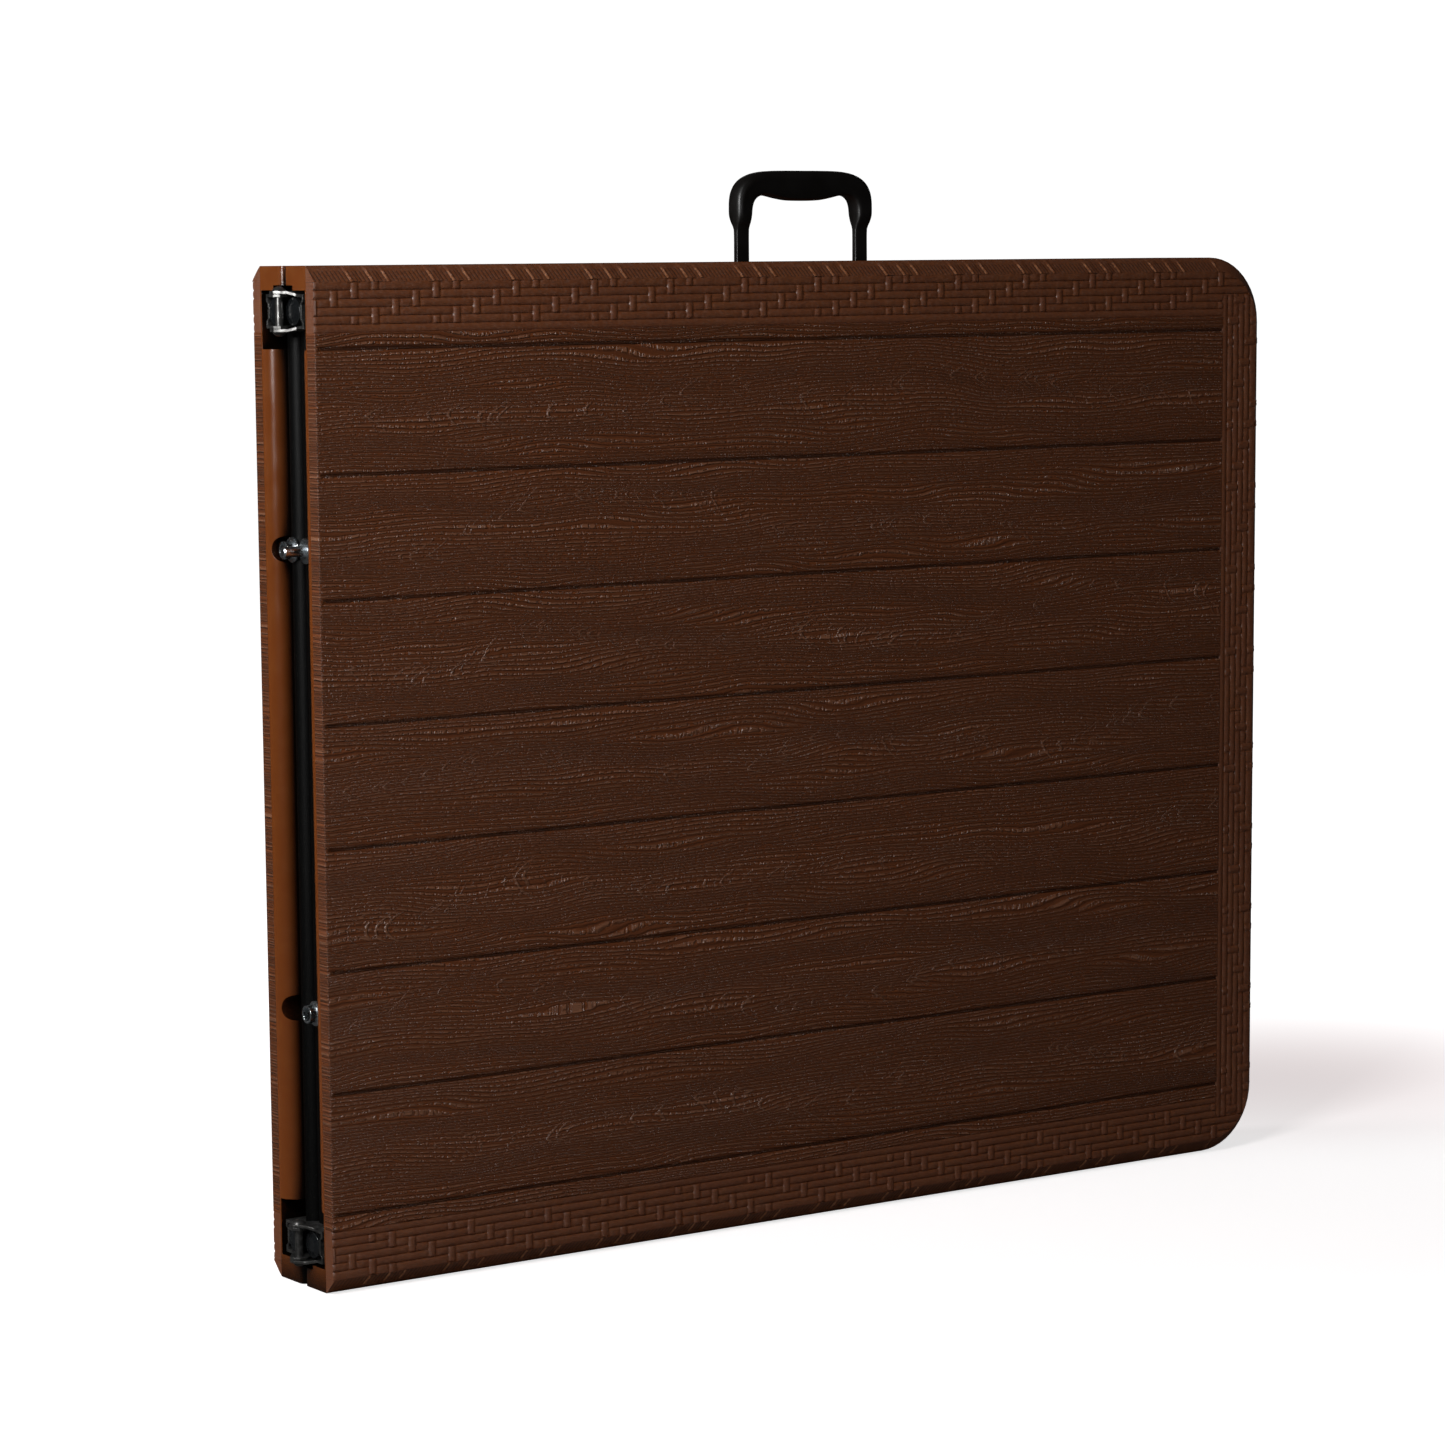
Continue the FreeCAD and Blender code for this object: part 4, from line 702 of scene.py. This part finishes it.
def coated_steel(name="powder_coat", black=0.0075, shine=0.35):
    """Black powder coat with a fine pebbled skin and pale specks."""
    coat = (black, black, black)
    graph = Graph(name, coat, 0.46, specular=shine)
    place = graph.place()
    pebble = graph.noise(place, 1400.0, 2.0, 0.6)
    speck = graph.ramp(graph.noise(place, 900.0, 1.0, 0.4), 0.66, 0.72)
    graph.set("Base Color", graph.mix(speck, coat, (black * 6, black * 6, black * 5)))
    graph.set("Normal", graph.bump(pebble, 0.0003, 0.6))
    graph.set("Roughness", graph.ramp(pebble, 0.3, 0.7, 0.36, 0.52))
    return graph.material


def hinge_steel():
    """Dark antique nickel, brushed, with brighter patches and rounded edges."""
    graph = Graph("antique_nickel", (0.12, 0.118, 0.114), 0.3, metallic=0.75)
    place = graph.place()
    tarnish = graph.noise(place, 160.0, 3.0, 0.6)
    stretched = graph.node("ShaderNodeMapping", {"Vector": place, "Scale": (900, 900, 120)})
    brushed = graph.noise(stretched.outputs[0])
    graph.set("Base Color", graph.mix(graph.ramp(tarnish, 0.35, 0.7),
                                      (0.045, 0.044, 0.042), (0.14, 0.138, 0.133)))
    graph.set("Roughness", graph.ramp(tarnish, 0.3, 0.7, 0.42, 0.26))
    graph.set("Normal", graph.bump(brushed, 0.00003, 0.4, graph.soft_edges(0.0004)))
    return graph.material


def zinc_steel():
    """Bright zinc plate, faintly blue, with the plating's patches."""
    graph = Graph("zinc_plate", (0.62, 0.66, 0.68), 0.26, metallic=1.0)
    patches = graph.noise(graph.place(), 240.0, 3.0, 0.6)
    graph.set("Base Color", graph.mix(graph.ramp(patches, 0.35, 0.7),
                                      (0.44, 0.48, 0.51), (0.74, 0.77, 0.78)))
    graph.set("Roughness", graph.ramp(patches, 0.3, 0.7, 0.34, 0.2))
    graph.set("Normal", graph.bump(patches, 0.0001, 0.4, graph.soft_edges(0.0004)))
    return graph.material


def gloss_plastic():
    """Glossy black plastic of the tube plugs."""
    graph = Graph("plug_gloss", (0.008, 0.009, 0.010), 0.14)
    waves = graph.noise(graph.place(), 120.0, 2.0, 0.5)
    graph.set("Roughness", graph.ramp(waves, 0.3, 0.7, 0.1, 0.18))
    graph.set("Normal", graph.soft_edges(0.0005))
    return graph.material


def handle_plastic():
    """Black moulded plastic with a fine spark-eroded texture."""
    graph = Graph("handle_black", (0.0045, 0.0034, 0.0028), 0.4, specular=0.34)
    place = graph.place()
    texture = graph.noise(place, 1600.0, 2.0, 0.6)
    wear = graph.noise(place, 45.0, 2.0, 0.5)
    graph.set("Roughness", graph.ramp(wear, 0.3, 0.7, 0.34, 0.5))
    graph.set("Normal", graph.bump(texture, 0.00012, 0.4))
    return graph.material


def foot_rubber():
    """Matte dark rubber, dusty in its texture."""
    graph = Graph("foot_rubber", (0.02, 0.02, 0.02), 0.78)
    texture = graph.noise(graph.place(), 1100.0, 3.0, 0.6)
    graph.set("Base Color", graph.mix(graph.ramp(texture, 0.5, 0.8),
                                      (0.018, 0.018, 0.018), (0.05, 0.048, 0.045)))
    graph.set("Normal", graph.bump(texture, 0.0003, 0.6, graph.soft_edges(0.001)))
    return graph.material


# The floor glows for the camera, less so near the table so that the lamps' shadows show there, and least
# and pinker at a painted shadow beside it.
FLOOR_SEEN = (0.86, 0.8, 0.805)
FLOOR_FOR_COLOUR = (0.6, 0.58, 0.56)
FLOOR_FOR_SHINE = (0.08, 0.08, 0.08)
FLOOR_GLOW = 0.73
GLOW_FROM, GLOW_TO = 0.5, 1.1
PAINTED_SHADOW_AT = (0.72, 0.18, 0.0)
PAINTED_SHADOW_REACH = 0.45
PAINTED_SHADOW_GLOW = 0.7
PAINTED_SHADOW_TINT = (1.0, 0.92, 0.92)


def backdrop():
    """White studio floor that runs out to pure white away from the table, with a painted shadow beside
    the table.
    """
    graph = Graph("studio_floor", (0.86, 0.86, 0.86), 0.9, specular=0.0)
    away = graph.distance((0.0, 0.0, 0.0))
    from_painted_shadow = graph.distance(PAINTED_SHADOW_AT)
    rays = graph.node("ShaderNodeLightPath")
    seen = rays.outputs["Is Camera Ray"]
    # Painted shadow: at one spot beside the table the glow drops and turns pinker.
    tint = graph.mix(graph.ramp(from_painted_shadow, 0.0, PAINTED_SHADOW_REACH), PAINTED_SHADOW_TINT, (1.0, 1.0, 1.0))
    glow = graph.times(graph.ramp(away, GLOW_FROM, GLOW_TO, FLOOR_GLOW, 1.0),
                       graph.ramp(from_painted_shadow, 0.0, PAINTED_SHADOW_REACH, PAINTED_SHADOW_GLOW, 1.0))
    graph.set("Emission Color", tint)
    graph.set("Emission Strength", graph.times(glow, seen))
    unseen = graph.mix(rays.outputs["Is Glossy Ray"], FLOOR_FOR_COLOUR, FLOOR_FOR_SHINE)
    graph.set("Base Color", graph.mix(seen, unseen, FLOOR_SEEN))
    return graph.material


# ---------------------------------------------------------------- the table

PLAIN = plain_plastic()
WEAVE = weave_plastic()
GRAIN = grain_plastic()

for half in ("front", "back"):
    weave = merge(band_shell(True), band_shell(False))
    edge = merge(end_shell(), bevel_ring(CUT))
    moulded = [
        (shell_below(half), PLAIN),
        (moulded_piece(f"{half}_top_weave", weave, half), WEAVE),
        (moulded_piece(f"{half}_top_edge", edge, half), WEAVE),
        (moulded_piece(f"{half}_top_planks", plank_shell(), half), GRAIN),
    ]
    for piece, material in moulded:
        piece.data.materials.append(material)
        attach(piece, f"{half}_half")
        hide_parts(f"{half}_top")

# Stations of the carry handle from a strap's lower end to the middle of the grip: the outer and the
# inner side as (from the handle's middle, above the top edge), the depth, and how square it is.
HANDLE_STATIONS = [
    ((62.0, -18.4), (50.5, -18.4), 6.0, 7.0),
    ((62.0, 0.0), (50.5, 0.0), 6.0, 7.0),
    ((62.0, 21.0), (50.5, 21.0), 6.0, 7.0),
    ((62.3, 26.0), (50.5, 26.0), 8.0, 6.0),
    ((63.2, 30.5), (50.3, 30.5), 13.5, 5.0),
    ((63.8, 35.0), (50.1, 35.0), 17.0, 4.5),
    ((64.0, 41.0), (49.5, 40.5), 18.0, 4.0),
    ((63.8, 47.0), (48.2, 44.5), 18.0, 4.0),
    ((62.6, 52.7), (46.2, 47.2), 18.0, 4.0),
    ((59.3, 58.7), (43.4, 49.0), 18.0, 4.0),
    ((54.0, 63.2), (40.3, 49.9), 18.0, 4.0),
    ((46.5, 66.4), (36.6, 50.1), 18.0, 4.0),
    ((38.0, 68.1), (31.5, 49.5), 18.0, 4.0),
    ((28.0, 68.8), (24.5, 48.0), 18.0, 4.0),
    ((15.0, 69.0), (14.0, 46.4), 18.0, 4.0),
    ((0.0, 69.0), (0.0, 46.0), 18.0, 4.0),
]
HANDLE_FROM_FOLD = 442.0
HANDLE_SETBACK = 26.0
HANDLE_SLIMMER = 0.3
GRIP_DEPTH = 18.0
STRAP_TO_GRIP = 4.0
# The raised line on the grip's front: its height, and its place and width in the section.
LINE_HEIGHT = 0.9
LINE_PLACE = 0.5
LINE_WIDTH = 0.1
TURNS = 40
STEPS = 6


def smooth_rows(rows):
    """A smooth curve through every row (Catmull-Rom), STEPS rows for each one given."""
    padded = np.concatenate([2 * rows[:1] - rows[1:2], rows, 2 * rows[-1:] - rows[-2:-1]])
    fine = []
    for k in range(len(rows) - 1):
        p0, p1, p2, p3 = padded[k:k + 4]
        for t in np.arange(STEPS) / STEPS:
            fine.append(0.5 * (2 * p1 + (p2 - p0) * t + (2 * p0 - 5 * p1 + 4 * p2 - p3) * t ** 2
                               + (3 * p1 - p0 - 3 * p2 + p3) * t ** 3))
    fine.append(rows[-1])
    return fine


def rounded(value, power):
    """Cosine or sine drawn towards a square: a circle at power 2, a squarer section above it."""
    return np.sign(value) * np.abs(value) ** (2.0 / power)


def handle_mesh():
    """The carry handle: soft sections set along an arch, with a raised line round the grip's front."""
    rows = np.array([[*a, *b, depth, power] for a, b, depth, power in HANDLE_STATIONS])
    mirrored = rows[:-1][::-1].copy()
    mirrored[:, [0, 2]] *= -1.0
    sections = smooth_rows(np.concatenate([rows, mirrored]))
    angle = np.arange(TURNS) * 2.0 * math.pi / TURNS
    points = []
    for row in sections:
        outside, inside, depth, power = row[0:2], row[2:4], row[4], row[5]
        c, d = rounded(np.cos(angle), power), rounded(np.sin(angle), power)
        grip_share = np.clip((depth - (GRIP_DEPTH - STRAP_TO_GRIP)) / STRAP_TO_GRIP, 0.0, 1.0)
        line = LINE_HEIGHT * grip_share * np.exp(-((c - LINE_PLACE) / LINE_WIDTH) ** 2) * (d < 0)
        middle, reach = (outside + inside) / 2.0, (outside - inside) / 2.0
        for across, out, ridge in zip(c, d, line):
            spot = middle + reach * across
            points.append((FOLD_X + (HANDLE_FROM_FOLD + spot[0]) * MM,
                           (-HANDLE_SETBACK + out * (depth / 2.0 - HANDLE_SLIMMER) - ridge) * MM,
                           (WIDTH + spot[1]) * MM))
    faces = []
    for start in range(0, (len(sections) - 1) * TURNS, TURNS):
        for k in range(TURNS):
            n = (k + 1) % TURNS
            faces.append((start + k, start + n, start + TURNS + n, start + TURNS + k))
    faces.append(tuple(range(TURNS)))
    faces.append(tuple(len(points) - 1 - k for k in range(TURNS)))
    mesh = bpy.data.meshes.new("handle_grip")
    mesh.from_pydata(points, [], faces)
    tidy_normals(mesh)
    return linked("handle_grip", mesh)


HANDLE_BLACK = handle_plastic()
grip = handle_mesh()
grip.data.materials.append(HANDLE_BLACK)
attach(grip, "handle")
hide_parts("handle")

SLOT_MATERIALS = {
    "black_steel": coated_steel(),
    "hinge_steel": hinge_steel(),
    "zinc_steel": zinc_steel(),
    "black_gloss_plastic": gloss_plastic(),
    "black_plastic": HANDLE_BLACK,
    "foot_rubber": foot_rubber(),
}
# The end tubes lie deep between the lips, where hardly any light comes; they get a darker, duller copy of
# the coat there: painted shade.
STEEL_WITH_PAINTED_SHADE = coated_steel("powder_coat_painted_shade", 0.002, 0.05)
for part in frame["record"]["subparts"]:
    material = SLOT_MATERIALS.get(part["material_slot"])
    if material:
        mesh = frame["nodes"][part["node"]].data
        mesh.materials.clear()
        mesh.materials.append(STEEL_WITH_PAINTED_SHADE if part["node"].endswith("end_tube") else material)


# ---------------------------------------------------------------- floor, light and camera

FLOOR_SIDE = 6.0
FLOOR_BELOW = 0.0006
WORLD_SEEN, WORLD_FOR_COLOUR, WORLD_FOR_SHINE = 1.05, 0.13, 0.02
CAMERA_PLACE = (-1.99235, -2.7635, 0.7593)
CAMERA_YAW, CAMERA_PITCH, CAMERA_ROLL = 34.863, 8.046, -0.419
CAMERA_LENS = 108.16
CAMERA_SHIFT = (0.0014, 0.0975)


def add_floor():
    """Flat square just under the table."""
    side = FLOOR_SIDE
    mesh = bpy.data.meshes.new("floor")
    corners = [(-side, -side, 0), (side, -side, 0), (side, side, 0), (-side, side, 0)]
    mesh.from_pydata(corners, [], [(0, 1, 2, 3)])
    mesh.materials.append(backdrop())
    floor = linked("floor", mesh)
    floor.location.z = -FLOOR_BELOW


def add_area(name, place, target, size, power, sheen):
    """A soft light that is seen either only in the shine of surfaces, or only in their colour."""
    data = bpy.data.lights.new(name, "AREA")
    data.shape = "RECTANGLE"
    data.size, data.size_y = size
    data.energy = power
    light = linked(name, data)
    light.location = place
    light.rotation_euler = (Vector(target) - Vector(place)).to_track_quat("-Z", "Y").to_euler()
    light.visible_glossy = sheen
    light.visible_diffuse = not sheen


def add_world():
    """White surroundings, bright for the camera and dim for what they light."""
    world = bpy.data.worlds.new("studio")
    scene.world = world
    world.use_nodes = True
    nodes, links = world.node_tree.nodes, world.node_tree.links
    background = nodes["Background"]
    rays = nodes.new("ShaderNodeLightPath")
    unseen = nodes.new("ShaderNodeMapRange")
    links.new(rays.outputs["Is Glossy Ray"], unseen.inputs["Value"])
    unseen.inputs["To Min"].default_value = WORLD_FOR_COLOUR
    unseen.inputs["To Max"].default_value = WORLD_FOR_SHINE
    strength = nodes.new("ShaderNodeMapRange")
    links.new(rays.outputs["Is Camera Ray"], strength.inputs["Value"])
    links.new(unseen.outputs["Result"], strength.inputs["To Min"])
    strength.inputs["To Max"].default_value = WORLD_SEEN
    links.new(strength.outputs["Result"], background.inputs["Strength"])
    background.inputs["Color"].default_value = (1.0, 1.0, 1.0, 1.0)


def add_camera():
    """Camera to the left of the fold end, looking along and a little down at the front half."""
    yaw, pitch, roll = (math.radians(a) for a in (CAMERA_YAW, CAMERA_PITCH, CAMERA_ROLL))
    forward = Vector((math.sin(yaw) * math.cos(pitch), math.cos(yaw) * math.cos(pitch),
                      -math.sin(pitch)))
    level = Vector((math.cos(yaw), -math.sin(yaw), 0.0))
    upright = level.cross(forward)
    right = math.cos(roll) * level + math.sin(roll) * upright
    up = math.cos(roll) * upright - math.sin(roll) * level
    data = bpy.data.cameras.new("camera")
    data.sensor_width = 36.0
    data.lens = CAMERA_LENS
    data.shift_x, data.shift_y = CAMERA_SHIFT
    camera = linked("camera", data)
    camera.matrix_world = Matrix.Translation(CAMERA_PLACE) @ Matrix(
        (right, up, -forward)).transposed().to_4x4()
    scene.camera = camera


add_floor()
add_world()
add_area("front_left", (-1.6, -0.95, 1.7), (-0.1, 0.0, 0.35), (0.6, 0.6), 21.0, sheen=False)
add_area("back_left", (-1.5, 0.9, 0.9), (-0.45, 0.0, 0.4), (0.7, 0.7), 12.0, sheen=False)
add_area("sheen", (-1.72, -0.45, 1.08), (-0.3, 0.0, 0.38), (0.4, 0.8), 52.0, sheen=True)
add_camera()
scene.view_settings.view_transform = "Standard"
scene.view_settings.look = "None"
